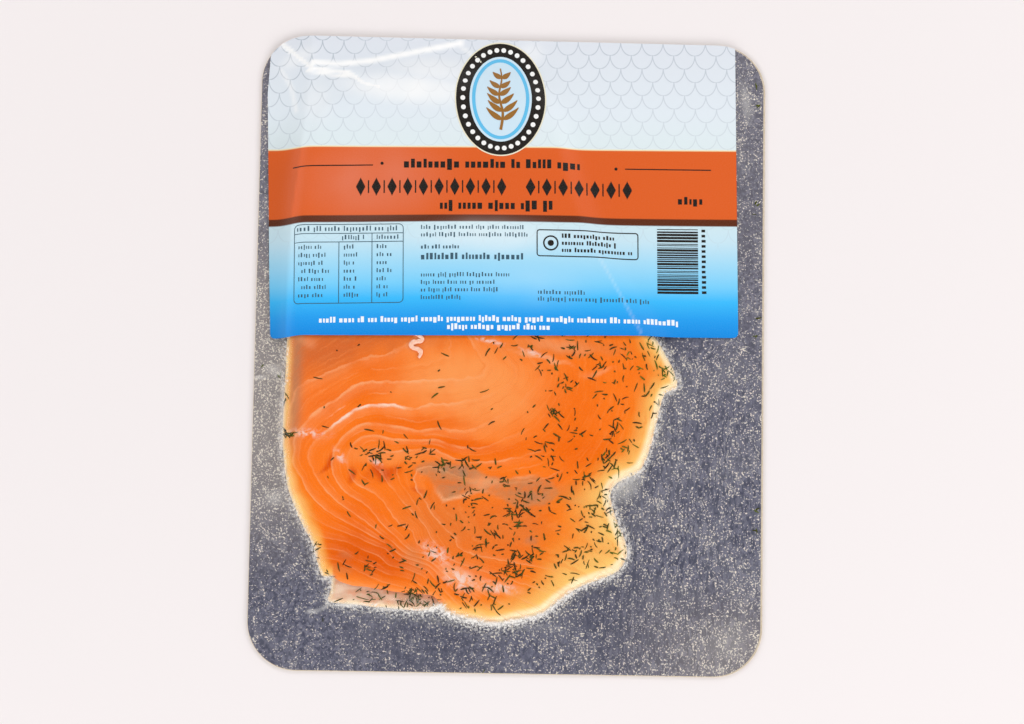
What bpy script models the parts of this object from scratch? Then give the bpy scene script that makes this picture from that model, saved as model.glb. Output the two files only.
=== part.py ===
"""A flat pack of gravlax: two thin slices of cured salmon on a foil-faced card, under a clear skin
film drawn down round them, with a paper label stuck on the film.

Metres, +Z up. The pack lies on its back: the card's underside is at z = 0, its centre at the
origin, and the labelled end is towards +Y. From the bottom up the pieces are the card, the under
slice, the top slice, the film and the label, each a hair clear of the next.
"""

import math

import bmesh
import bpy
import numpy as np

MM = 0.001

# Driving dimensions
CARD_WIDTH = 195 * MM
CARD_LENGTH = 244 * MM
CARD_THICKNESS = 0.8 * MM
CARD_CORNER_RADIUS = 18.5 * MM
UNDER_SLICE_THICKNESS = 1.9 * MM
TOP_SLICE_THICKNESS = 2.1 * MM
FILM_THICKNESS = 0.3 * MM
LABEL_THICKNESS = 0.3 * MM
LABEL_WIDTH = 180 * MM
LABEL_FRONT = 6 * MM
LABEL_SIDE_SHIFT = -2.4 * MM
LABEL_TURN = math.radians(1.0)
LABEL_CORNER_RADIUS = 1.8 * MM
CLEARANCE = 0.3 * MM

CORNER_STEPS = 8
OUTLINE_STEPS = 2
BASE = CARD_THICKNESS + CLEARANCE
UNDER_LIFT = UNDER_SLICE_THICKNESS + CLEARANCE
TOP_LIFT = TOP_SLICE_THICKNESS + CLEARANCE

# Outlines in millimetres, anticlockwise. The top slice and the heap of both slices share their
# edge all round, except at the front left, where the under slice shows past the top one.
SHARED_EDGE = (
    (-22, -99.5), (-12, -102), (-4, -103), (5, -101.5), (14, -99), (19.5, -94.5), (29.5, -88),
    (41, -83.5), (45.5, -77.5), (45, -71), (42, -64), (39, -54), (42.5, -48.5), (50.5, -44),
    (54.5, -34), (57, -23), (59.5, -14.5), (64, -12), (63, -6), (57, 5), (46, 21.5), (37, 36),
    (28, 54), (21, 75), (17, 92), (9, 101), (-16, 104.5), (-45, 104), (-68, 101), (-78, 92),
    (-81.5, 76), (-84, 50), (-85, 20), (-85.5, -11), (-86, -33), (-83.5, -53), (-77, -68),
    (-73, -76), (-70, -86),
)
TOP_SLICE_FRONT = ((-65.5, -86.5), (-61, -89), (-51, -90.5), (-40, -92), (-29, -93), (-25.5, -95.5))
UNDER_SLICE_FRONT = ((-66.5, -92.5), (-66.5, -96), (-55, -97), (-38, -98.5))
UNDER_SLICE_BACK = (
    (-28, -98), (-20, -94.5), (-5, -97), (9, -93.5), (24, -84.5), (37, -77.5), (38, -70),
    (33.5, -60), (33, -50), (38, -43.5), (46, -37), (50, -25), (54, -10), (50, 4), (40, 20),
    (31, 35), (22, 53), (15, 74), (11, 89), (2, 95.5), (-16, 98.5), (-45, 98), (-64, 95.5),
    (-72, 88), (-75.5, 74), (-78, 48), (-79, 18), (-79.5, -11), (-80, -32), (-77, -52),
    (-71.5, -66), (-68, -76), (-66, -84),
)

# Profiles, as depths inside an outline and the share of the full height reached there: a slice's
# rounded edge, the top slice's climb on to the under slice, and the film's tent over both
SLICE_EDGE = ((0 * MM, 0.8 * MM, 2.2 * MM, 4 * MM), (0.40, 0.75, 0.95, 1.0))
TOP_SLICE_CLIMB = ((0 * MM, 0.8 * MM, 2.2 * MM, 4 * MM), (0.0, 0.12, 0.60, 1.0))
FILM_TENT = ((-3.2 * MM, -1.6 * MM, -0.6 * MM, 0.8 * MM, 2.6 * MM, 5 * MM, 9 * MM),
             (0.0, 0.08, 0.33, 0.75, 0.97, 1.0, 1.0))
# How far outside the lower slice's edge, or the top slice's, what lies over it begins to rise
CLIMB_REACH = 1 * MM
TENT_REACH = 3.5 * MM

MATERIALS = {
    "foil card": ((0.36, 0.37, 0.41), 0.35, 0.9),
    "salmon": ((0.92, 0.33, 0.10), 0.45, 0.0),
    "dark salmon": ((0.62, 0.38, 0.25), 0.5, 0.0),
    "clear film": ((0.95, 0.96, 0.97), 0.08, 0.0),
    "label paper": ((0.45, 0.66, 0.85), 0.3, 0.0),
}


def clear_scene():
    for thing in list(bpy.data.objects):
        bpy.data.objects.remove(thing, do_unlink=True)
    for group in list(bpy.data.collections):
        bpy.data.collections.remove(group)


def new_collection(name):
    group = bpy.data.collections.new(name)
    bpy.context.scene.collection.children.link(group)
    return group


def material(name):
    colour, roughness, metallic = MATERIALS[name]
    made = bpy.data.materials.new(name)
    made.use_nodes = True
    shader = made.node_tree.nodes["Principled BSDF"]
    shader.inputs["Base Color"].default_value = (*colour, 1)
    shader.inputs["Roughness"].default_value = roughness
    shader.inputs["Metallic"].default_value = metallic
    made.diffuse_color = (*colour, 1)
    return made


def smoothstep(value):
    share = np.clip(value, 0.0, 1.0)
    return share * share * (3 - 2 * share)


def smooth_loop(points, steps=OUTLINE_STEPS):
    """A closed Catmull-Rom curve through points given in millimetres, as metres."""
    knots = np.array(points, float) * MM
    before, after, beyond = (np.roll(knots, shift, axis=0) for shift in (1, -1, -2))
    out = []
    for step in range(steps):
        t = step / steps
        out.append(0.5 * (2 * knots + (after - before) * t
                          + (2 * before - 5 * knots + 4 * after - beyond) * t ** 2
                          + (3 * knots - before - 3 * after + beyond) * t ** 3))
    return np.stack(out, axis=1).reshape(-1, 2)


def relaxed(loop, rounds):
    for _ in range(rounds):
        loop = 0.5 * loop + 0.25 * (np.roll(loop, 1, axis=0) + np.roll(loop, -1, axis=0))
    return loop


def grown(loop, distance):
    """The loop moved outwards by distance, or inwards where it is negative. A deep inset is
    relaxed first, so that the points at a tip or a notch keep their order."""
    spacing = np.linalg.norm(np.roll(loop, -1, axis=0) - loop, axis=1).mean()
    soft = relaxed(loop, math.ceil(3 * (min(distance, 0) / spacing) ** 2))
    along = np.roll(soft, -1, axis=0) - np.roll(soft, 1, axis=0)
    outwards = np.stack((along[:, 1], -along[:, 0]), axis=1)
    return soft + outwards / np.linalg.norm(outwards, axis=1)[:, None] * distance


def depth_inside(points, loop):
    """How far each point is inside the loop, negative outside it."""
    start, run = loop, np.roll(loop, -1, axis=0) - loop
    offset = points[:, None, :] - start[None]
    share = np.clip((offset * run).sum(2) / (run ** 2).sum(1), 0, 1)
    nearest = np.linalg.norm(offset - share[..., None] * run, axis=2).min(axis=1)
    end = start + run
    spans = (start[:, 1] > points[:, None, 1]) != (end[:, 1] > points[:, None, 1])
    rise = np.where(run[:, 1] == 0, 1, run[:, 1])
    crossing = start[:, 0] + (points[:, None, 1] - start[:, 1]) / rise * run[:, 0]
    inside = (spans & (points[:, None, 0] < crossing)).sum(axis=1) % 2 == 1
    return np.where(inside, nearest, -nearest)


def reached(loop, outline, profile, at_least=-math.inf):
    """The share of a profile's height at each of the loop's points, by its depth in the outline,
    or by a depth that all of them count as having reached."""
    return np.interp(np.maximum(depth_inside(loop, outline), at_least), *profile)


def risen(loop, outline, reach):
    """0 to 1 as the loop's points come from reach outside the outline up to it."""
    return smoothstep(1 + depth_inside(loop, outline) / reach)


def at_height(loop, height):
    """The loop's points in space, at one height or one each."""
    return np.column_stack((loop, np.broadcast_to(height, len(loop))))


def rounded_rectangle(width, length, radius, steps=CORNER_STEPS):
    points = []
    for quarter in range(4):
        middle = (quarter + 0.5) * math.pi / 2
        centre_x = math.copysign(width / 2 - radius, math.cos(middle))
        centre_y = math.copysign(length / 2 - radius, math.sin(middle))
        for step in range(steps + 1):
            angle = (quarter + step / steps) * math.pi / 2
            points.append((centre_x + radius * math.cos(angle), centre_y + radius * math.sin(angle)))
    return np.array(points)


def skin(mesh, rings):
    """Joins loops with the same number of points, each to the next, and closes the last one."""
    loops = [[mesh.verts.new(point) for point in ring] for ring in rings]
    for lower, upper in zip(loops, loops[1:]):
        for i, here in enumerate(lower):
            j = (i + 1) % len(lower)
            mesh.faces.new((here, lower[j], upper[j], upper[i]))
    mesh.faces.new(loops[-1])
    return loops


def finish(mesh, name, finish_name, group):
    data = bpy.data.meshes.new(name)
    mesh.to_mesh(data)
    mesh.free()
    thing = bpy.data.objects.new(name, data)
    group.objects.link(thing)
    data.materials.append(material(finish_name))
    return thing


def closed_loft(name, rings, finish_name, group):
    mesh = bmesh.new()
    loops = skin(mesh, rings)
    mesh.faces.new(reversed(loops[0]))
    bmesh.ops.recalc_face_normals(mesh, faces=mesh.faces)
    return finish(mesh, name, finish_name, group)


def flat_prism(name, outline, low, high, finish_name, group):
    """A flat outline as a filled curve, extruded to either side of its middle."""
    curve = bpy.data.curves.new(name, "CURVE")
    curve.dimensions = "2D"
    curve.fill_mode = "BOTH"
    curve.extrude = (high - low) / 2
    spline = curve.splines.new("POLY")
    spline.points.add(len(outline) - 1)
    for point, (x, y) in zip(spline.points, outline):
        point.co = (x, y, 0, 1)
    spline.use_cyclic_u = True
    shape = bpy.data.objects.new(name + " curve", curve)
    group.objects.link(shape)
    shape.location.z = (low + high) / 2
    bpy.context.view_layer.update()
    graph = bpy.context.evaluated_depsgraph_get()
    data = bpy.data.meshes.new_from_object(shape.evaluated_get(graph))
    mesh = bmesh.new()
    mesh.from_mesh(data)
    bmesh.ops.remove_doubles(mesh, verts=mesh.verts, dist=0.001 * MM)
    mesh.transform(shape.matrix_world)
    bpy.data.objects.remove(shape, do_unlink=True)
    bpy.data.meshes.remove(data)
    return finish(mesh, name, finish_name, group)


def make_card(group):
    outline = rounded_rectangle(CARD_WIDTH, CARD_LENGTH, CARD_CORNER_RADIUS)
    return flat_prism("card", outline, 0, CARD_THICKNESS, "foil card", group)


def make_under_slice(outline, group):
    rings = [at_height(outline, BASE)]
    for inset in SLICE_EDGE[0]:
        loop = grown(outline, -inset)
        rings.append(at_height(loop, BASE + UNDER_SLICE_THICKNESS * reached(loop, outline, SLICE_EDGE)))
    return closed_loft("slice_under", rings, "dark salmon", group)


def make_top_slice(outline, under_outline, group):
    """The top slice lies on the card at its edge and climbs on to the under slice farther in.
    Where its edge lies on the under slice, it is up there from the start."""
    underside, upper_side = [], []
    for inset in SLICE_EDGE[0]:
        loop = grown(outline, -inset)
        climbed = reached(loop, outline, TOP_SLICE_CLIMB, at_least=inset)
        rest = BASE + UNDER_LIFT * np.maximum(climbed, risen(loop, under_outline, CLIMB_REACH))
        underside.append(at_height(loop, rest))
        upper_side.append(at_height(loop, rest + TOP_SLICE_THICKNESS * reached(loop, outline, SLICE_EDGE)))
    return closed_loft("slice_top", underside[::-1] + upper_side, "salmon", group)


def tent_sheet(name, heap_outline, top_outline, lift, thickness, finish_name, group):
    """A sheet drawn over the slices and down on to the card all round, out to the card's edge.
    lift is how far it is held off, square to its own surface."""
    mesh = bmesh.new()
    rings = []
    for depth in FILM_TENT[0]:
        loop = grown(heap_outline, -depth)
        heap_height = UNDER_LIFT + TOP_LIFT * risen(loop, top_outline, TENT_REACH)
        tented = reached(loop, heap_outline, FILM_TENT, at_least=depth)
        rings.append(at_height(loop, BASE + heap_height * tented))
    rings[0][:, 2] = BASE
    foot = skin(mesh, rings)[0]
    card_edge = rounded_rectangle(CARD_WIDTH, CARD_LENGTH, CARD_CORNER_RADIUS)
    rim = [mesh.verts.new(point) for point in at_height(card_edge, BASE)]
    rim_edges = [mesh.edges.new((here, rim[i - 1])) for i, here in enumerate(rim)]
    foot_edges = [mesh.edges.get((here, foot[i - 1])) for i, here in enumerate(foot)]
    bmesh.ops.triangle_fill(mesh, edges=rim_edges + foot_edges, use_beauty=True, normal=(0, 0, 1))
    bmesh.ops.recalc_face_normals(mesh, faces=mesh.faces)
    if sum(face.normal.z * face.calc_area() for face in mesh.faces) < 0:
        bmesh.ops.reverse_faces(mesh, faces=mesh.faces)
    mesh.normal_update()
    for vert in mesh.verts:
        vert.co += vert.normal * lift
    sheet = finish(mesh, name, finish_name, group)
    wall = sheet.modifiers.new("sheet thickness", "SOLIDIFY")
    wall.thickness = thickness
    wall.offset = 1
    return sheet


def make_label(heap_outline, top_outline, group, cutters):
    lift = FILM_THICKNESS + CLEARANCE
    label = tent_sheet("label", heap_outline, top_outline, lift, LABEL_THICKNESS, "label paper", group)
    reach = CARD_LENGTH
    outline = rounded_rectangle(LABEL_WIDTH, reach, LABEL_CORNER_RADIUS)
    outline = outline + np.array((LABEL_SIDE_SHIFT, LABEL_FRONT + reach / 2))
    turn = np.array(((math.cos(LABEL_TURN), -math.sin(LABEL_TURN)),
                     (math.sin(LABEL_TURN), math.cos(LABEL_TURN))))
    pivot = np.array((LABEL_SIDE_SHIFT, LABEL_FRONT))
    outline = (outline - pivot) @ turn.T + pivot
    top = BASE + UNDER_LIFT + TOP_LIFT + lift + LABEL_THICKNESS
    cutter = flat_prism("label outline", outline, -top, 2 * top, "label paper", cutters)
    cutter.hide_render = True
    cutter.display_type = "WIRE"
    trim = label.modifiers.new("cut to the label's outline", "BOOLEAN")
    trim.operation = "INTERSECT"
    trim.solver = "EXACT"
    trim.object = cutter
    return label


def main():
    clear_scene()
    pack = new_collection("gravlax pack")
    cutters = new_collection("cutters")
    top_outline = smooth_loop(SHARED_EDGE + TOP_SLICE_FRONT)
    heap_outline = smooth_loop(SHARED_EDGE + UNDER_SLICE_FRONT)
    under_outline = smooth_loop(UNDER_SLICE_FRONT + UNDER_SLICE_BACK)
    make_card(pack)
    make_under_slice(under_outline, pack)
    make_top_slice(top_outline, under_outline, pack)
    tent_sheet("film", heap_outline, top_outline, 0, FILM_THICKNESS, "clear film", pack)
    make_label(heap_outline, top_outline, pack, cutters)


main()
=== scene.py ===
"""The looks of a flat pack of gravlax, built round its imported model: a foil-faced card, two slices
of cured salmon with dill, a clear skin film drawn down over them, and a printed paper label.

Places on the card are in millimetres from the card's middle, +Y towards the labelled end. Places
in the label's print are in millimetres along its front edge and up from it. Places marked as seen
are pixels, across and down, in the 1024 by 724 picture that the camera takes.
"""

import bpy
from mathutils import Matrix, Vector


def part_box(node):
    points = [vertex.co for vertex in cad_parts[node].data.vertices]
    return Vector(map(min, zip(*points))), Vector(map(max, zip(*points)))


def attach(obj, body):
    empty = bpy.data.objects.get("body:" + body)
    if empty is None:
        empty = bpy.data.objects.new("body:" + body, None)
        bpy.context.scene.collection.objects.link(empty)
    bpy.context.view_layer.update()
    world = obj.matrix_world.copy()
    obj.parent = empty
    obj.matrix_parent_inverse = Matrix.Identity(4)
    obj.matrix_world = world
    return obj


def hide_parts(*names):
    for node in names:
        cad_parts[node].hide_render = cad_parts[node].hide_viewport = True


bl_info = {
    "name": "Gravlax pack",
    "version": (1, 0, 0),
    "blender": (4, 5, 0),
    "location": "View3D > Sidebar > Gravlax",
    "description": "Builds the card, the salmon, the film, the label and the dill of a gravlax pack",
    "category": "Object",
}

import math
import random

import bmesh
import bpy
import numpy as np
from bpy.props import FloatProperty, FloatVectorProperty, IntProperty, PointerProperty
from mathutils import Euler, Matrix, Vector, noise
from mathutils.bvhtree import BVHTree

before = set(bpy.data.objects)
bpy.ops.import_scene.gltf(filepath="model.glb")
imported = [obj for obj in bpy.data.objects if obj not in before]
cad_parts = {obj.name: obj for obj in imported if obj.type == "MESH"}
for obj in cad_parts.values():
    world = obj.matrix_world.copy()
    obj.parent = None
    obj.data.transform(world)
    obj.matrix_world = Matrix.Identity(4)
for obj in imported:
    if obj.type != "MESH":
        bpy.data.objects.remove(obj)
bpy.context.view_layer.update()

MM = 0.001
CARD_LOW, CARD_HIGH = (Vector(corner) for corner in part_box("card"))
CARD_TOP = CARD_HIGH.z

# Heights of the film's and the label's upper sides over the bare card
FILM_LEVEL = 0.16 * MM
LABEL_LEVEL = 0.40 * MM
FILM_DROP = 0.35 * MM

# The label's own frame on the card
LABEL_PIVOT = np.array((-2.4, 6.0))
LABEL_TURN = math.radians(1.0)
LABEL_LENGTH = 116.0

# How many millimetres up the slices' top and the card's top lie, where the camera sees them
SEEN_FISH_LEVEL = 4.5
SEEN_CARD_LEVEL = 1.1

# Fat lines in the flesh: places seen along each, by its number in the order in which they nest
FAT_LINES_SEEN = {
    -2: ((322, 558), (337, 560), (351, 567)),
    -1: ((320, 548), (344, 552), (357, 560)),
    0: ((314, 534), (350, 543), (388, 565), (420, 575)),
    1: ((381, 355), (343, 366), (322, 375), (295, 392), (287, 420), (287, 450), (292, 480), (305, 510),
        (318, 521), (351, 535), (386, 549), (408, 563), (427, 570)),
    2: ((481, 358), (486, 365), (481, 375), (446, 380), (399, 382), (359, 384), (336, 399), (315, 413),
        (300, 429), (293, 442), (292, 462), (304, 485), (322, 507), (349, 524), (377, 539)),
    3: ((505, 358), (514, 368), (512, 380), (495, 392), (467, 401), (431, 404), (392, 405), (359, 408),
        (343, 418), (322, 436), (308, 455), (312, 468), (331, 496), (359, 517), (386, 538)),
    4: ((518, 344), (533, 365), (540, 372), (529, 392), (497, 417), (462, 431), (420, 431), (378, 424),
        (350, 431), (332, 460), (339, 485), (363, 503), (382, 524), (402, 544), (413, 552)),
    5: ((550, 406), (536, 424), (502, 440), (480, 448), (448, 444), (392, 439), (357, 440), (347, 462),
        (356, 484), (381, 499), (401, 525), (413, 531)),
    6: ((483, 462), (434, 449), (406, 450), (375, 448), (382, 472), (386, 482), (404, 503), (427, 530),
        (446, 557)),
    7: ((419, 493), (433, 516), (456, 539), (465, 552)),
}
# How strongly each line shows, by its number
LINE_STRENGTHS = ((-3, -2, -1, 0, 1, 2, 3, 4, 5, 6, 7, 8),
                  (0, 0.35, 0.4, 0.4, 0.4, 0.7, 0.6, 0.6, 0.6, 0.5, 0.65, 0))
# Where the fat is thick and pale: the middle, the half lengths, the turn in degrees, the share added
BOLD_FAT = (((-50, -21.5), (12, 4), 0, 0.5), ((-64, -26), (8, 4), 40, 0.4))
# Where the lines fade: the middle, the half lengths, the turn in degrees, the share taken
FAINT_FAT = (((-60, -43), (8, 9), 0, 0.75), ((-80, -44), (9, 13), 0, 0.6), ((-46, -52), (8, 6), 0, 0.5))

# Depth in from the slices' edge over which it pales, by direction from the slices' middle
HEAP_MIDDLE = (-15, -45)
PALE_EDGE = ((0, 20, 45, 90, 150, 175, 195, 215, 235, 270, 300, 325, 345, 360),
             (14, 12, 10, 4, 4, 5, 8, 6, 6, 8, 17, 27, 22, 13))

# Patches in the flesh: a tone's name, the middle, the half lengths, the turn in degrees, the share
FLESH_PATCHES = (
    # The ruddy patches at the label's front edge are partly the flesh's own darker tone and partly painted
    # shade under the label's edge.
    ("ruddy_and_shade", (-70, 0), (22, 11), 14, 0.85),
    ("ruddy_and_shade", (-45, 4), (26, 5), 0, 0.6),
    ("ruddy_and_shade", (-83, -14), (5, 20), 4, 0.75),
    ("rosy", (-72, -22), (10, 16), -35, 0.5),
    # The glare patches are a painted highlight: a soft reflection of the lamps on the wet flesh, laid in the
    # light tone.
    ("glare", (-18, -11), (32, 14), 0, 1.0),
    ("glare", (-6, -24), (20, 9), 15, 0.7),
    ("glare", (-46, -41), (20, 3), 0, 0.5),
    ("deep", (-50, -7), (12, 5), 14, 0.5),
    ("deep", (-58, -17), (22, 4), 18, 0.55),
    ("deep", (-34, -28), (24, 3.5), 0, 0.6),
    ("deep", (-21, -36), (17, 3.5), -4, 0.9),
    ("deep", (12, -92), (8, 3), 10, 0.3),
    ("dusky", (-8, -79), (14, 6), 0, 0.35),
    ("deep", (2, -37), (20, 4), 12, 0.5),
    ("deep", (-56, -66), (11, 10), -30, 0.7),
    ("deep", (30, -38), (16, 7), 0, 0.7),
    ("deep", (24, -22), (12, 18), 0, 0.45),
    ("ember", (-50, -79), (19, 9), -14, 0.95),
    ("ember", (-64, -78), (8, 8), -30, 0.6),
    ("blood", (-48, -47), (6, 2.8), 6, 1.0),
    ("blood", (-69, -44), (1.2, 4.5), -35, 0.9),
    ("blood", (-59, -48), (1.2, 3), 0, 0.9),
    ("blood", (-34, -53), (3, 1.2), -10, 0.8),
    ("dusky", (-22, -66), (20, 12), -20, 0.75),
    ("dusky", (4, -66), (16, 12), -8, 0.75),
    ("dusky", (14, -80), (9, 5), 20, 0.35),
    ("muscle", (24, -53), (9, 4), -10, 0.45),
    ("muscle", (-62, -84), (6, 2.5), -12, 0.4),
    ("muscle", (-35, -79), (4, 6), 20, 0.5),
    ("muscle", (22, 2), (26, 3.5), 0, 0.35),
    ("pale", (18, 3), (14, 3), -8, 0.3),
    ("glare", (52, -20), (5, 16), -6, 0.4),
    ("slate", (26, -56), (4, 1.6), 0, 0.5),
    ("slate", (9, -72), (2.4, 2), 0, 0.45),
    ("slate", (-61, -78), (3, 1.2), -20, 0.3),
    ("rosy", (-18, -84), (14, 5), -6, 0.7),
    ("pale", (-18, -86), (8, 4), -20, 0.6),
    ("pale", (-3, -90), (10, 2.6), -6, 0.6),
    ("pale", (6, -48), (5, 0.8), 12, 0.6),
    ("pale", (12, -2), (11, 0.8), -14, 0.7),
    ("pale", (34, -7), (6, 1.2), 8, 0.4),
    ("pale", (-77, 2.5), (4, 2.5), 0, 0.3),
)
# The outline of the dark muscle across the middle
DARK_MUSCLE = (
    (-37, -45), (-32, -42.5), (-26, -42), (-15, -43), (-9, -47), (1, -48.5), (10, -47), (17, -49),
    (20, -54), (15, -58), (7, -60), (0, -57.5), (-4, -55), (-10, -53.5), (-17, -55.5), (-24, -57.5),
    (-28, -54), (-30, -49),
)
# Crumbs of white fat: the middle, the half lengths, the turn in degrees
WHITE_FAT = (
    ((-64, -41), (1.2, 3.4), 35), ((-50, -43), (2.6, 1), -25), ((-76, -32.5), (7.5, 1.6), -4),
    ((-18, -87), (6, 3.5), -25), ((-4, -89.5), (8, 2), -8), ((-27, -77), (6, 3), -35),
    ((-8, 4), (6, 0.8), -12), ((8, 0), (5, 0.8), -20),
)
# The thread of white fat at the label's front edge
FAT_SQUIGGLE = (
    (-41, 7), (-38.6, 6.8), (-36, 6), (-34, 4.8), (-33.8, 3.7), (-35.4, 3.2), (-37.2, 2.8),
    (-37.9, 1.7), (-37, 0.7), (-35.2, 0.2), (-34.2, -0.9), (-34.4, -2.2), (-35, -3),
)

# Dill: where each tuft's middle is seen, its number of threads and its spread in millimetres
DILL_TUFTS_SEEN = (
    (364, 452, 7, 2.5), (376, 455, 9, 3), (386, 453, 8, 3), (412, 460, 8, 3), (444, 464, 14, 3),
    (464, 465, 10, 3.5), (473, 446, 3, 1.5), (543, 448, 8, 2.5), (549, 463, 9, 3), (505, 482, 7, 3),
    (523, 510, 16, 3.5), (513, 516, 9, 2.5), (516, 525, 6, 2), (489, 533, 8, 3), (484, 543, 7, 2.5),
    (604, 461, 10, 3), (626, 450, 8, 2), (615, 472, 5, 2), (591, 516, 5, 2), (616, 526, 8, 2),
    (619, 535, 7, 2.5), (531, 553, 6, 2), (539, 552, 5, 1.5), (519, 557, 5, 1.5), (579, 555, 14, 3.5),
    (614, 554, 8, 2.5), (531, 496, 7, 2.5), (562, 496, 6, 2), (368, 566, 11, 2.5), (343, 566, 4, 1.5),
    (326, 573, 5, 2), (386, 591, 9, 3), (409, 594, 11, 2.5), (418, 593, 10, 2.5), (365, 601, 8, 3),
    (414, 603, 7, 3), (427, 603, 7, 2.5), (468, 598, 6, 2), (469, 607, 6, 2), (499, 607, 8, 2.5),
    (499, 577, 6, 2.5), (511, 566, 14, 3), (516, 574, 8, 2), (442, 583, 6, 2.5), (464, 583, 5, 2.5),
    (482, 593, 6, 2.5), (597, 339, 6, 2.5), (582, 345, 5, 3), (650, 344, 8, 2.2), (631, 353, 5, 3),
    (663, 373, 16, 1.9), (672, 375, 7, 1.5), (635, 372, 4, 2.5), (660, 392, 4, 2), (583, 355, 6, 3),
    (599, 367, 6, 2.5), (285, 397, 9, 1.5), (288, 433, 16, 1.4), (285, 468, 4, 2), (313, 547, 5, 2),
    (316, 560, 3, 1.5), (567, 387, 14, 2.5), (554, 413, 15, 2), (614, 427, 12, 2.2), (606, 455, 12, 2),
    (567, 333, 8, 3), (536, 345, 6, 3), (609, 508, 5, 3), (588, 482, 8, 4),
)
# Single threads strewn over the slices: the middle, the half lengths, the number
DILL_STREWN = (
    ((30, -25), (26, 30), 95), ((15, -62), (34, 18), 150), ((-20, -70), (26, 18), 70),
    ((-8, -86), (34, 12), 70), ((24, 0), (36, 8), 36), ((-45, -25), (42, 30), 26),
    ((-60, -65), (22, 24), 16), ((-30, -44), (30, 7), 45), ((45, -10), (14, 20), 36),
    ((38, -68), (14, 16), 50), ((-45, -94), (22, 4), 34),
)
# Loose bits of it out on the card, where they are seen
DILL_STRAYS_SEEN = (
    (259, 366), (280, 375), (322, 620), (757, 87), (757, 105), (757, 205), (760, 215), (760, 318),
    (758, 335), (485, 672), (757, 510), (757, 530),
)

# Folds pressed into the film and the label: places along each, height and half width
LABEL_CREASES = (
    (((-91, 119), (-84, 113.5), (-78, 109)), 0.65, 0.8),
    (((-78, 111.5), (-68, 111), (-56, 112.5), (-45, 115), (-21, 120.5)), 0.40, 1.0),
    (((-78, 109), (-69, 108), (-64, 107.5), (-58, 103), (-52, 101.5)), 0.50, 0.8),
    (((-80, 108), (-70, 106.5), (-63, 105.8)), 0.30, 0.7),
    (((-21, 119), (-14, 114), (-9, 108)), 0.16, 0.8),
    (((-90, 108), (-86, 101), (-84, 92)), 0.16, 0.9),
    (((33, 38), (41, 24), (50, 8)), 0.05, 0.5),
)
# Where a soft sheen is painted on the paper: the middle, half lengths, turn in degrees and share, in its
# print
LABEL_SHEEN = (
    ((-37, 96), (24, 6), -5, 0.8), ((-26, 104), (18, 5), -4, 0.5), ((-80, 108), (8, 3), 30, 0.5),
    ((-50, 60), (26, 16), 5, 0.07), ((-10, 103), (7, 5), -30, 0.35), ((10, 110), (6, 5), 40, 0.4),
    ((-72, 91), (6, 9), 0, 0.3), ((-6, 37), (24, 7), 0, 0.3), ((8, 18), (26, 8), 0, 0.12),
)
FILM_CREASES = (
    (((-97, -11.5), (-94, -11), (-86, -9.5)), 0.4, 0.4),
    (((-75, -100), (-70, -99), (-66, -96)), 0.7, 0.5),
)
# White haze in the film, where it did not take to the card: the middle, half lengths, turn, share
FILM_HAZE = (
    ((44, -49), (6, 8), -35, 0.5), ((-88, -57), (4, 3), 20, 0.3), ((-90, -8), (4, 2), 0, 0.35),
    ((-10, -103), (34, 1.5), -3, 0.14), ((90, 100), (2, 8), 10, 0.3), ((84, -108), (9, 7), 40, 0.1),
)

CAMERA_PLACE = (-34.1, -113.5, 993.4)
CAMERA_TURN = (6.292, -2.117, 0.937)
CAMERA_LENS = 91.8
PICTURE_WIDTH = 1024
PICTURE_HEIGHT = 724
SENSOR_WIDTH = 36


def tone(code):
    """A display colour, as six hexadecimal digits, in linear light."""
    shares = (int(code[i:i + 2], 16) / 255 for i in (0, 2, 4))
    return tuple(s / 12.92 if s <= 0.04045 else ((s + 0.055) / 1.055) ** 2.4 for s in shares)


def seen_places(pixels, level):
    """Where the camera sees these pixels on a level plane so high over the floor, in millimetres."""
    focal = CAMERA_LENS / SENSOR_WIDTH * PICTURE_WIDTH
    turn = Euler([math.radians(angle) for angle in CAMERA_TURN]).to_matrix()
    start = Vector(CAMERA_PLACE)
    places = []
    for across, down in pixels:
        ray = turn @ Vector((across - PICTURE_WIDTH / 2, PICTURE_HEIGHT / 2 - down, -focal))
        places.append(tuple((start + ray * (level - start.z) / ray.z).xy))
    return places


def smoothstep(value):
    share = np.clip(value, 0.0, 1.0)
    return share * share * (3 - 2 * share)


# Settings

def colour_setting(name, description, code):
    return FloatVectorProperty(name=name, description=description, subtype="COLOR", size=3,
                               min=0, max=1, default=tone(code))


def length_setting(name, description, millimetres):
    return FloatProperty(name=name, description=description, subtype="DISTANCE", unit="LENGTH",
                         min=0, default=millimetres * MM)


class GravlaxCardSettings(bpy.types.PropertyGroup):
    silver: colour_setting("Silver", "Colour of the foil between its glints", "77788c")
    # The glint colour paints the foil's glints into its base colour.
    glint: colour_setting("Glint", "Colour of the foil's bright specks", "fff6e8")
    gold: colour_setting("Gold", "Colour of the plain laminate on the back", "b9975a")
    board: colour_setting("Board", "Colour of the card's cut edge", "d9cab4")
    corner: length_setting("Corner radius", "Radius of the card's corners", 18.5)
    bare_rim: length_setting("Bare rim", "Width of board left bare at the right side", 0.7)


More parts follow.
